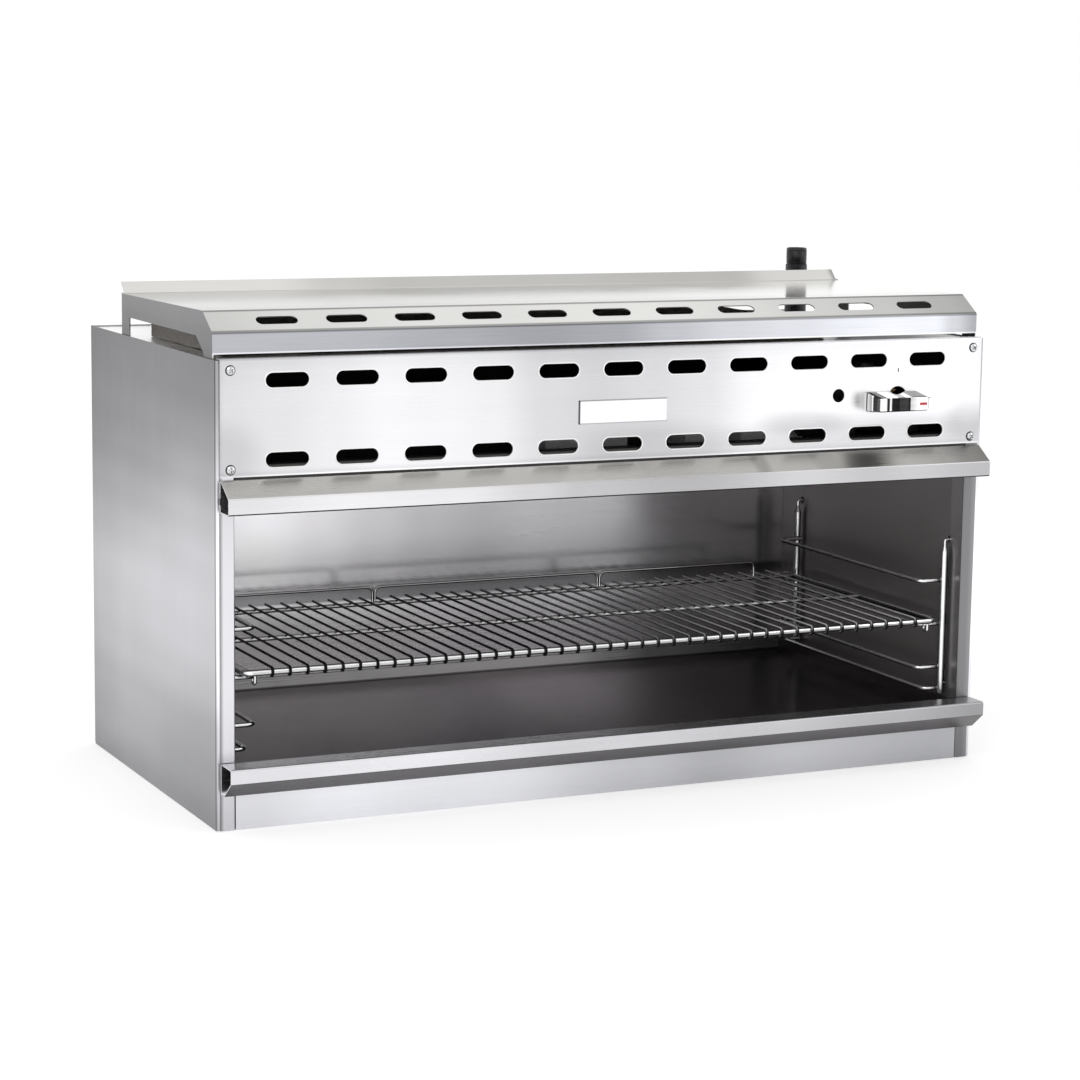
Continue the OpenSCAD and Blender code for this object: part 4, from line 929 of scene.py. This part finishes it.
# %% Rack guides
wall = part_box("cavity_right_wall")[0].x / MM
post_r, peg_r, rung_r = 4, 1.75, 2.5
wall_gap, peg_reach, foot_trim, bite = 2.2, 3.5, 0.6, 0.3
post_x = wall - wall_gap - post_r
guide_low, guide_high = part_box("right_rack_guide")
post_front = 26
post_rear = guide_high.y / MM + half_depth - post_r
post_foot = guide_low.z / MM
post_top = 236
tip_z = post_top + 15
rungs = ((76.2, 24.2), (101.6, 34.2), (152.4, 34.2), (203.2, 34.2))      # height, inset
rung_start, rung_bend, post_bend = post_x + 3, 9, 2


def guide(side):
    paths = []
    peg_x, low_peg = wall + peg_reach, post_foot + 12
    heights = (post_foot, post_foot + 1, post_top, post_top + 8, tip_z)
    for depth in (post_front, post_rear):
        post = [at(side * post_x, depth, z) for z in heights] + [at(side * peg_x, depth, tip_z)]
        paths.append((post, [post_r - foot_trim, post_r, post_r, peg_r, peg_r, peg_r], post_bend))
        paths.append(([at(side * post_x, depth, low_peg), at(side * peg_x, depth, low_peg)],
                      peg_r, 0))
    near, far = post_front + post_r + rung_r - bite, post_rear - post_r - rung_r + bite
    for z, inset in rungs:
        reach = side * (wall - inset)
        paths.append(([at(side * rung_start, near, z), at(reach, near, z), at(reach, far, z),
                       at(side * rung_start, far, z)], rung_r, rung_bend))
    return paths


for name, side in (("left_rack_guide", -1), ("right_rack_guide", 1)):
    rod_piece(name + "_rods", name, guide(side), rod_chrome)
print("rungs at", [z for z, inset in rungs])

# %% [markdown]
# ## The wire grid
# Forty-one wires lie side by side across the rack. Each runs over the cross rods, where it is
# welded, and curls down round the front rod. One wire with its welds is drawn once and placed
# along a line of points. Each copy is turned by a hair, from a fixed seed, as real ones are.

# %% Tree for a row of wires
def wire_row():
    tree, ports, result = new_tree("row of wires", [
        ("Count", "Int", 41), ("Pitch", "Float", 0.0195), ("Radius", "Float", 0.0014),
        ("Sides", "Int", 12), ("Weld radius", "Float", 0.0019), ("Turn", "Float", 0.001),
        ("Seed", "Int", 4), ("Material", "Material", None)])
    line = put(tree, "GeometryNodeMeshToCurve", {0: ports["Geometry"]}).outputs[0]
    wire = swept(tree, line, circle(tree, ports["Sides"], ports["Radius"]))
    ball = put(tree, "GeometryNodeMeshIcoSphere", {"Radius": ports["Weld radius"],
                                                   "Subdivisions": 2})
    welds = put(tree, "GeometryNodeInstanceOnPoints",
                {"Points": ports["Geometry"], "Selection": named(tree, "weld", "BOOLEAN"),
                 "Instance": ball.outputs[0], "Scale": (0.9, 1.25, 0.55)}).outputs[0]
    one = gathered(tree, wire, welds)
    gaps = maths(tree, "SUBTRACT", ports["Count"], 1)
    start = maths(tree, "MULTIPLY", maths(tree, "MULTIPLY", gaps, ports["Pitch"]), -0.5)
    row = put(tree, "GeometryNodeMeshLine", {
        "Count": ports["Count"], "Start Location": xyz(tree, start),
        "Offset": xyz(tree, ports["Pitch"])}, mode="OFFSET", count_mode="TOTAL").outputs[0]
    less = maths(tree, "MULTIPLY", ports["Turn"], -1)
    hair = put(tree, "FunctionNodeRandomValue", {2: less, 3: ports["Turn"], "Seed": ports["Seed"]},
               data_type="FLOAT").outputs[1]
    grid = put(tree, "GeometryNodeInstanceOnPoints", {"Points": row, "Instance": one,
                                                      "Rotation": xyz(tree, z=hair)}).outputs[0]
    close_tree(tree, grid, ports, result)
    return tree


def wire_line(curl=200, arc_steps=14):
    """The route of one wire, with its welded points marked."""
    route = [at(0, rack_end, grid_z), at(0, rack_rear, grid_z), at(0, rack_mid, grid_z)]
    centre = at(0, rack_front, rack_z)
    radius = (frame_r + seat + wire_r) * MM
    for k in range(arc_steps + 1):
        angle = math.radians(90 + curl * k / arc_steps)
        route.append(centre + Vector((0, math.cos(angle), math.sin(angle))) * radius)
    mesh = bpy.data.meshes.new("wire")
    mesh.from_pydata(route, [(i, i + 1) for i in range(len(route) - 1)], [])
    marks = [i in (1, 2) for i in range(len(route))]
    mesh.attributes.new("weld", "BOOLEAN", "POINT").data.foreach_set("value", marks)
    return mesh


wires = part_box("rack_wires")
wire_count = round((wires[1].x - wires[0].x - 2 * wire_r * MM) / (wire_pitch * MM)) + 1
grid = grow(wire_row(), wire_line(), **{
    "Count": wire_count, "Pitch": wire_pitch * MM, "Radius": wire_r * MM, "Sides": 12,
    "Weld radius": 1.5 * wire_r * MM, "Turn": 0.0006, "Seed": 4, "Material": wire_chrome})
# The wire grid's painted highlights grow towards the right.
grid = painted_reflection(grid, WIRE_GLINT_AIMS, grow_from=-60)
ease(show(grid, "rack_wire_grid", "rack_wires", wire_chrome), width=0, angle=SHARP)
print("wires", wire_count, "faces", len(grid.polygons))

# %% [markdown]
# ## Screws
# Four domed cross-head screws hold the panel, and ten smaller ones hold the back. The head is
# a slice of a ball with a tapered cross cut out of it. The tree makes one head and places it
# on each point with a turn of its own, because no two screws stop at the same angle.

# %% Tree for screw heads
def screw_heads():
    tree, ports, result = new_tree("screw heads", [
        ("Head", "Float", 0.011), ("Shank", "Float", 0.004), ("Length", "Float", 0.009),
        ("Facing", "Float", 0.0), ("Seed", "Int", 2), ("Material", "Material", None)])

    def share(of, amount):
        return maths(tree, "MULTIPLY", ports[of], amount)

    def block(x, y, z):
        size = xyz(tree, share("Head", x), share("Head", y), share("Head", z))
        return put(tree, "GeometryNodeMeshCube", {"Size": size}).outputs[0]

    def moved(shape, z, arm=0.0):
        return put(tree, "GeometryNodeTransform", {0: shape, "Translation": xyz(tree, z=z),
                                                   "Rotation": (0, 0, arm)}).outputs[0]

    rise = share("Head", 0.3)
    ball_r = share("Head", 0.5667)      # (head² / 4 + rise²) / (2 * rise)
    ball = put(tree, "GeometryNodeMeshUVSphere", {"Segments": 36, "Rings": 24, "Radius": ball_r})
    ball = moved(ball.outputs[0], maths(tree, "SUBTRACT", rise, ball_r))
    cut = put(tree, "GeometryNodeMeshBoolean", {0: ball}, operation="DIFFERENCE", solver="EXACT")
    tree.links.new(moved(block(3, 3, 2), share("Head", -1)), cut.inputs[1])
    for arm in (0, math.pi / 2):
        tree.links.new(moved(block(0.5, 0.12, 0.34), rise, arm), cut.inputs[1])
    shank = put(tree, "GeometryNodeMeshCylinder", {
        "Vertices": 16, "Radius": share("Shank", 0.5), "Depth": ports["Length"]}).outputs[0]
    one = gathered(tree, cut.outputs[0], moved(shank, share("Length", -0.499)))
    turn = put(tree, "FunctionNodeRandomValue", {2: 0.0, 3: 3.0, "Seed": ports["Seed"]},
               data_type="FLOAT").outputs[1]
    spun = put(tree, "FunctionNodeRotateEuler",
               {0: xyz(tree, ports["Facing"]), 1: xyz(tree, z=turn)},
               rotation_type="EULER", space="LOCAL").outputs[0]
    heads = put(tree, "GeometryNodeInstanceOnPoints", {"Points": ports["Geometry"], "Instance": one,
                                                       "Rotation": spun}).outputs[0]
    close_tree(tree, heads, ports, result)
    return tree


def points_mesh(places):
    mesh = bpy.data.meshes.new("places")
    mesh.from_pydata(places, [], [])
    return mesh


screws = screw_heads()
print("screw head nodes", len(screws.nodes))

# %% [markdown]
# ## Where the screws go
# A domed head is bright in its middle only. Its rim curves away and its cross lies in shade, so
# those faces get a darker finish, picked by how far they lie from the screw's own middle.

# %% Panel screws and back screws
rim_shade, cross_shade, back_inset = 4.5, 3.4, 6


def in_shade(normal, centre):
    """True on the rim of a panel screw and in its cross."""
    away = min(math.hypot(centre.x - s * screw_x * MM, centre.z - z * MM)
               for s in (-1, 1) for z in screw_rows) / MM
    return away > rim_shade or (away < cross_shade and abs(normal.y) < 0.6)


def driven(places, head, shank, length, facing, seed):
    return grow(screws, points_mesh(places), **{
        "Head": head * MM, "Shank": shank * MM, "Length": length * MM, "Facing": facing,
        "Seed": seed, "Material": screw_steel})


panel_places = [at(s * screw_x, face_depth, z) for s in (-1, 1) for z in screw_rows]
heads = driven(panel_places, head=11, shank=4, length=9, facing=math.pi / 2, seed=2)
ease(show(heads, "panel_screw_heads", "panel_screws", screw_steel, sides=[(dark_steel, in_shade)]),
     width=0)
back_rows = 5
panel_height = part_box("back_panel")[1].z / MM
back_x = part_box("left_side_panel")[0].x / MM + back_inset
back_places = [at(s * back_x, 2 * half_depth, (i + 0.5) * panel_height / back_rows)
               for s in (-1, 1) for i in range(back_rows)]
heads = driven(back_places, head=7, shank=2.8, length=5, facing=-math.pi / 2, seed=5)
ease(show(heads, "back_screw_heads", "back_screws", screw_steel), width=0)
print("screws", len(panel_places) + len(back_places))

# %% [markdown]
# ## The inlet pipe
# A black pipe stands up behind the cover, and its top is cut with a tapered pipe thread. The
# body is a turned profile. The thread is a small square on its corner, swept along a spiral so
# that its outer half stands proud, fourteen turns to the inch, as such a thread has.

# %% Pipe and thread
def turned(profile, centre, sides=48):
    """A closed ring of (radius, height) points, turned round an upright axis."""
    form = bmesh.new()
    rings = []
    for k in range(sides):
        across, along = math.cos(2 * math.pi * k / sides), math.sin(2 * math.pi * k / sides)
        rings.append([form.verts.new(centre + Vector((r * across, r * along, z)) * MM)
                      for r, z in profile])
    for a, b in zip(rings, rings[1:] + rings[:1]):
        for i in range(len(profile)):
            j = (i + 1) % len(profile)
            form.faces.new((a[i], b[i], b[j], a[j]))
    bmesh.ops.recalc_face_normals(form, faces=form.faces)
    return finished(form, "turned")


def thread_tree():
    tree, ports, result = new_tree("pipe thread", [
        ("Turns", "Float", 10.0), ("Pitch", "Float", 0.0018), ("Radius", "Float", 0.0125),
        ("Depth", "Float", 0.0009), ("Material", "Material", None)])
    height = maths(tree, "MULTIPLY", ports["Turns"], ports["Pitch"])
    path = put(tree, "GeometryNodeCurveSpiral", {
        "Resolution": 36, "Rotations": ports["Turns"], "Start Radius": ports["Radius"],
        "End Radius": ports["Radius"], "Height": height}).outputs[0]
    ridge = swept(tree, path, circle(tree, 4, ports["Depth"]))
    close_tree(tree, ridge, ports, result)
    return tree


pipe_low, pipe_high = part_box("inlet_pipe")
pipe_centre = Vector(((pipe_low.x + pipe_high.x) / 2, (pipe_low.y + pipe_high.y) / 2, 0))
pipe_r, crest_r, root_r, bore_r = 13.35, 13.0, 12.15, 10.45
pipe_foot, pipe_end = pipe_low.z / MM, pipe_high.z / MM
thread_l, ridge_h, chamfer, bore_rim = 20, 0.9, 0.6, 0.5
thread_low = pipe_end - thread_l
pipe_mesh = turned([(bore_r, pipe_foot), (pipe_r, pipe_foot), (pipe_r, thread_low - chamfer),
                    (root_r, thread_low), (root_r, pipe_end - chamfer),
                    (root_r - chamfer, pipe_end), (bore_r + bore_rim, pipe_end),
                    (bore_r, pipe_end - bore_rim)], pipe_centre)
thread_pitch = 25.4 / 14      # fourteen to the inch
turns = 10
thread = grow(thread_tree(), points_mesh([]), **{
    "Turns": float(turns), "Pitch": thread_pitch * MM, "Radius": (crest_r - ridge_h) * MM,
    "Depth": ridge_h * MM, "Material": black_pipe})
thread.transform(Matrix.Translation(pipe_centre + Vector((0, 0, thread_low + ridge_h)) * MM))
ease(show(join("inlet", pipe_mesh, thread), "inlet_pipe_threaded", "inlet_pipe", black_pipe),
     width=0)
print("thread turns", turns)

# %% [markdown]
# ## Burner tiles
# Five ceramic tiles hang over the opening, each with hundreds of small holes that the gas
# burns at. The punched-sheet tree makes them too: only the points, the size of a hole and the
# thickness are different.

# %% Tiles
tile_low, tile_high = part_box("burner_tiles")
tiles = 5
tile_gap, tile_rim = 1.0, 6
tile_pitch = (tile_high.x - tile_low.x + tile_gap * MM) / MM / tiles
tile_w, tile_d = tile_pitch - tile_gap, (tile_high.y - tile_low.y) / MM
hole_pitch, hole_d = 9.0, 3.4
columns, lines = (int((span - 2 * tile_rim) / hole_pitch) for span in (tile_w, tile_d))
tile_holes = [((i - (columns - 1) / 2) * hole_pitch, (j - (lines - 1) / 2) * hole_pitch,
               hole_d, hole_d) for i in range(columns) for j in range(lines)]
one_tile = grow(punched, hole_points(tile_holes), **{
    "Width": tile_w * MM, "Height": tile_d * MM, "Thickness": tile_high.z - tile_low.z,
    "Arc points": 6, "Material": ceramic})
row = []
for i in range(tiles):
    tile = one_tile.copy()
    x = tile_low.x + (i * tile_pitch + tile_w / 2) * MM
    tile.transform(Matrix.Translation((x, (tile_low.y + tile_high.y) / 2, tile_low.z)))
    row.append(tile)
ease(show(join("tiles", *row), "burner_tile_row", "burner_tiles", ceramic), width=0)
print("tile holes", len(tile_holes) * tiles)

# %% [markdown]
# ## The screen below the tiles
# A row of thin rods, held by a flat bar at each end, keeps food off the glowing tiles. The rods
# come from the same tree as the rack's. A bar is a cube stretched to its size.

# %% Screen
screen_low, screen_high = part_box("burner_screen")
rod_r, bar_drop, bar_w = 1.5, 3, 3
screen_x = screen_high.x / MM
bar_x = screen_x - 5
rod_z = screen_low.z / MM + bar_drop
first_rod, last_rod, rod_pitch = 125, 305, 15
paths = [([at(-screen_x, d, rod_z), at(screen_x, d, rod_z)], rod_r, 0)
         for d in range(first_rod, last_rod + 1, rod_pitch)]
screen = grow(rods, rod_lines(paths), **{"Sides": 14, "Bend steps": 1, "Material": inner_steel})
size, middle = screen_high - screen_low, (screen_low + screen_high) / 2
bars = []
for s in (-1, 1):
    form = bmesh.new()
    bmesh.ops.create_cube(form, size=1)
    for vert in form.verts:
        vert.co = Vector((vert.co.x * bar_w * MM + s * bar_x * MM, vert.co.y * size.y + middle.y,
                          vert.co.z * size.z + middle.z))
    bars.append(finished(form, "bar"))
ease(show(join("screen", screen, *bars), "burner_screen_rods", "burner_screen", inner_steel),
     width=0)
print("screen rods", len(paths))

# %% [markdown]
# ## Fibre
# A grey fibre blanket lies on the deck under the cover, cut blocks stand round the burner, and
# boards of mineral wool line the cavity. They are soft and never flat. Each is a box with a
# fine mesh whose skin is pushed in by noise, so it stays inside its own space.

# %% Soft boards
def soft_board(low, high, cell, depth, seed, heap=None):
    """A box whose skin is pushed in by up to depth, all in millimetres but the corners. A heap
    lifts the upper skin: it gives the lift in millimetres at a place."""
    size = high - low
    counts = [max(1, min(90, round(s / MM / cell))) for s in size]
    form = bmesh.new()
    for axis in range(3):
        u, v = [a for a in range(3) if a != axis]
        for end in (0, 1):
            rows = []
            for i in range(counts[u] + 1):
                line = []
                for j in range(counts[v] + 1):
                    p = Vector((0, 0, 0))
                    p[axis], p[u], p[v] = end, i / counts[u], j / counts[v]
                    line.append(form.verts.new(low + Vector(p[k] * size[k] for k in range(3))))
                rows.append(line)
            for a, b in zip(rows, rows[1:]):
                for k in range(counts[v]):
                    form.faces.new((a[k], b[k], b[k + 1], a[k + 1]))
    bmesh.ops.remove_doubles(form, verts=form.verts, dist=1e-6)
    bmesh.ops.recalc_face_normals(form, faces=form.faces)
    form.normal_update()
    moves = []
    for vert in form.verts:
        wide = field.fractal(vert.co / (38 * MM) + Vector((seed, 0, 0)), 0.8, 2.0, 4)
        tight = field.noise(vert.co / (7 * MM) + Vector((0, seed, 0)))
        push = depth * (0.5 + 0.35 * wide + 0.3 * tight)
        moves.append(-vert.normal * max(0.05, min(depth, push)) * MM)
    for vert, move in zip(form.verts, moves):
        share = (vert.co.z - low.z) / size.z
        vert.co += move
        if heap:
            vert.co.z += heap(vert.co.x / MM, vert.co.y / MM + half_depth) * share * MM
    return finished(form, "board")


boards = {"burner_blanket": (6, 2.0, fibre), "back_insulation": (12, 1.5, wool),
          "left_insulation": (12, 1.2, wool), "right_insulation": (12, 1.2, wool)}


heap_left, heap_right, heap_front = -430, 245, 62
swell, press = 3.5, 7


def blanket_heap(x, depth):
    """The blanket is a little swollen in its middle, and is pressed flat towards the gas inlet."""
    inside = clamp((heap_right - x) / 50) * clamp((x - heap_left) / 12)
    inside *= clamp((depth - heap_front) / 10)
    pressed = clamp((x - heap_right) / 40)
    wave = 0.8 + 0.2 * math.sin(x / 37) * math.cos(depth / 23)
    return swell * inside * wave - press * pressed


for seed, (node, (cell, depth, material)) in enumerate(boards.items()):
    heap = blanket_heap if node == "burner_blanket" else None
    board = soft_board(*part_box(node), cell, depth, seed * 11.3, heap)
    ease(show(board, node + "_soft", node, material), width=0, angle=80)
low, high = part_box("fibre_blocks")
block_spans = ((-327, -227), (-156, -117), (-86, -5))      # from the pilot valve
blocks = []
for seed, (a, b) in enumerate(block_spans):
    start = Vector(((pilot_x + a) * MM, low.y, low.z))
    end = Vector(((pilot_x + b) * MM, high.y, high.z))
    blocks.append(soft_board(start, end, 5, 1.6, 50 + seed))
ease(show(join("blocks", *blocks), "fibre_blocks_soft", "fibre_blocks", pale_fibre), width=0,
     angle=80)
print("boards", len(boards), "blocks", len(block_spans))

# %% [markdown]
# ## The knob
# The gas knob is a chromed lever: a wedge that is tall at the panel and lower at its face, with
# every corner well rounded and a thin pointer to one side. It is lofted here from rounded
# rectangles, one behind the other, because that gives even roundings all over. A hollow
# runs across its face, where a fingertip goes.

# %% Lever knob
def rounded_rectangle(half_w, half_h, corner, count=10):
    points = []
    for sx, sz, start in ((1, 1, 0), (-1, 1, 90), (-1, -1, 180), (1, -1, 270)):
        for k in range(count + 1):
            angle = math.radians(start + 90 * k / count)
            points.append((sx * (half_w - corner) + corner * math.cos(angle),
                           sz * (half_h - corner) + corner * math.sin(angle)))
    return points


def band(name, *ramps, rough=0.05):
    """Chrome with painted bands, after those that the photograph's studio leaves in it."""
    return steel(name, ramps, rough=rough, streak=0.0, cloud=0.01, bump=0.0)


kx = knob_x
knob_face = band("knob_face", ("X", [
    (kx - 40, 0.55), (kx - 37.5, 1.0), (kx - 31, 0.95), (kx - 29.6, 0.03), (kx - 27.2, 0.03),
    (kx - 26.2, 1.0), (kx - 24.6, 0.9), (kx - 23.7, 0.02), (kx - 14.2, 0.015), (kx - 13.4, 0.045),
    (kx - 2.8, 0.05), (kx - 2.0, 0.015), (kx - 0.2, 0.02), (kx + 0.8, 0.66), (kx + 6.5, 0.82),
    (kx + 9, 1.0), (kx + 22.6, 1.0), (kx + 23.8, 0.35), (kx + 24.6, 0.15)]), ("Z", [
    (knob_z - 13.7, 0.05), (knob_z - 12.7, 0.15), (knob_z - 11.8, 1.0), (knob_z + 1.6, 1.0),
    (knob_z + 2.6, 0.3)]))
knob_flank = band("knob_flank", ("Y", [
    (-247.5, 0.10), (-243.4, 0.08), (-242.2, 0.02), (-234.2, 0.015), (-233.2, 0.9), (-231.8, 0.95),
    (-230.8, 0.36), (-227, 0.42), (-224, 0.62), (-220.5, 0.9)]))
knob_crown = band("knob_crown", ("X", [
    (kx - 40, 0.0), (kx - 31, 0.02), (kx - 28.5, 0.95), (kx - 17, 1.0), (kx - 14.5, 0.34),
    (kx - 7, 0.28), (kx - 5, 0.95), (kx + 0.5, 0.95), (kx + 2.5, 0.06), (kx + 12, 0.0),
    (kx + 21, 0.02), (kx + 24.5, 0.4)]))
knob_under = band("knob_under", ("X", [
    (kx - 40, 0.04), (kx - 20, 0.02), (kx + 2, 0.03), (kx + 8, 0.7), (kx + 24.5, 0.9)]))


knob_gap, knob_reach, rounding, pointer_reach = 0.9, 27.6, 1.8, 2
back_top, back_bottom, face_top, face_bottom = 6.8, -16.2, 2.6, -13.7
scoop_x, scoop_half, scoop_depth = -12, 7, 1.3
pointer_outline = [(0, 0.2), (24, 0.2), (26.5, 0.5), (26.5, 1.1), (24, 1.5), (0, 1.5)]


def lever_knob():
    """Rows of (depth, top, bottom, half width) run from the panel to the face, round its edge,
    and inwards over the face. Heights are measured from the stem's axis."""
    form = bmesh.new()
    back, face = face_depth - knob_gap, face_depth - knob_reach
    knob_low, knob_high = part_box("control_knob")
    left_end, right_end = knob_low.x / MM - knob_x, knob_high.x / MM - knob_x - pointer_reach
    half_w, centre = (right_end - left_end) / 2, (right_end + left_end) / 2
    rows = []
    for share in (0, 0.02, 0.08, 0.2, 0.4, 0.6, 0.8, 0.92):
        depth = back + (face + rounding - back) * share
        top = back_top + (face_top - back_top) * share
        bottom = back_bottom + (face_bottom - back_bottom) * share
        shrink = 0.8 if share == 0 else (0.25 if share == 0.02 else 0)
        rows.append((depth, top - shrink, bottom + shrink, half_w - shrink))
    for k in range(6):
        angle = math.radians(90 * k / 5)
        trim = rounding * (1 - math.cos(angle))
        rows.append((face + rounding * (1 - math.sin(angle)), face_top - trim,
                     face_bottom + trim, half_w - trim))
    for inset in (0.35, 0.6, 0.8, 0.95):
        trim = rounding + 6.3 * inset
        rows.append((face, face_top - trim, face_bottom + trim, half_w - rounding - 22 * inset))
    rings = []
    for depth, top, bottom, half in rows:
        half_h, middle = (top - bottom) / 2, (top + bottom) / 2
        corner = min(3.4, half_h * 0.9, half * 0.9)
        ring = []
        for x, z in rounded_rectangle(half, half_h, corner):
            x += centre
            scoop = scoop_depth * math.exp(-((x - scoop_x) / scoop_half) ** 2)
            scoop = scoop if depth <= face + 0.4 else 0
            ring.append(form.verts.new(at(knob_x + x, depth + scoop, knob_z + middle + z)))
        rings.append(ring)
    count = len(rings[0])
    for a, b in zip(rings, rings[1:]):
        for i in range(count):
            j = (i + 1) % count
            form.faces.new((a[i], a[j], b[j], b[i]))
    form.faces.new(rings[0])
    form.faces.new(rings[-1])
    ends = [[form.verts.new(at(knob_x + x, depth, knob_z + z)) for x, z in pointer_outline]
            for depth in (face + 1, face + 3)]
    for i in range(len(pointer_outline)):
        j = (i + 1) % len(pointer_outline)
        form.faces.new((ends[0][i], ends[0][j], ends[1][j], ends[1][i]))
    form.faces.new(ends[0])
    form.faces.new(ends[1])
    bmesh.ops.remove_doubles(form, verts=form.verts, dist=1e-6)
    bmesh.ops.recalc_face_normals(form, faces=form.faces)
    return finished(form, "knob")


ease(show(lever_knob(), "control_knob_lever", "control_knob", knob_face, sides=[
    (knob_flank, lambda n, c: n.x < -0.55), (knob_crown, lambda n, c: n.z > 0.55),
    (knob_under, lambda n, c: n.z < -0.55 or n.y > 0.5)]), width=0, angle=35)
print("knob at", knob_x, knob_z)

# %% [markdown]
# ## Floor, room and light
# The picture's background is plain white. The world is white to the camera and to reflections,
# so steel shows a bright room, and it is a little weaker as a lamp, so that pale things don't
# clip. The floor is pale and adds a little of its own light, for the camera and for mirrors,
# which hides the horizon but keeps the shadow under the cabinet.

# %% Room
ROOM_AS_LAMP, FLOOR_GREY, FLOOR_GLOW = 0.72, 0.84, 0.42


def seen_by(tree, *kinds):
    """One for the rays of these kinds, and zero for all others."""
    seen = put(tree, "ShaderNodeLightPath").outputs
    flag = 0.0
    for kind in kinds:
        flag = maths(tree, "MAXIMUM", flag, seen[f"Is {kind} Ray"])
    return flag


def stage_room():
    world = bpy.data.worlds.new("room")
    bpy.context.scene.world = world
    world.use_nodes = True
    tree = world.node_tree
    tree.nodes.clear()
    direct = seen_by(tree, "Camera", "Glossy", "Transmission")
    strength = put(tree, "ShaderNodeMapRange", {"Value": direct, "To Min": ROOM_AS_LAMP,
                                               "To Max": 1.0})
    sky = put(tree, "ShaderNodeBackground", {"Color": (1, 1, 1, 1),
                                             "Strength": strength.outputs[0]})
    out = put(tree, "ShaderNodeOutputWorld")
    tree.links.new(sky.outputs[0], out.inputs["Surface"])


def stage_floor(size=9.0):
    mesh = bpy.data.meshes.new("floor")
    corners = [(-size, -size, 0), (size, -size, 0), (size, size, 0), (-size, size, 0)]
    mesh.from_pydata([Vector(c) - Vector((0, 0, 0.0005)) for c in corners], [], [(0, 1, 2, 3)])
    floor = bpy.data.objects.new("floor", mesh)
    bpy.context.scene.collection.objects.link(floor)
    material, tree = new_material("floor_white")
    tree.nodes.clear()
    paint = put(tree, "ShaderNodeBsdfDiffuse", {"Color": (FLOOR_GREY, FLOOR_GREY, FLOOR_GREY, 1)})
    glow = maths(tree, "MULTIPLY", seen_by(tree, "Camera", "Glossy"), FLOOR_GLOW)
    lift = put(tree, "ShaderNodeEmission", {"Strength": glow})
    both = put(tree, "ShaderNodeAddShader", {0: paint.outputs[0], 1: lift.outputs[0]})
    out = put(tree, "ShaderNodeOutputMaterial")
    tree.links.new(both.outputs[0], out.inputs["Surface"])
    mesh.materials.append(material)


def soft_lamp(name, at, aim, size, power):
    lamp = bpy.data.lights.new(name, "AREA")
    lamp.shape = "RECTANGLE"
    lamp.size, lamp.size_y = size
    lamp.energy = power
    holder = bpy.data.objects.new(name, lamp)
    holder.location = at
    holder.rotation_euler = (Vector(aim) - Vector(at)).to_track_quat("-Z", "Y").to_euler()
    bpy.context.scene.collection.objects.link(holder)


stage_room()
stage_floor()
soft_lamp("key", (-2.2, -2.2, 2.6), (0, 0, 0.25), (1.8, 1.8), 22)
soft_lamp("fill", (2.4, -1.8, 1.6), (0, 0, 0.25), (1.2, 1.8), 10)
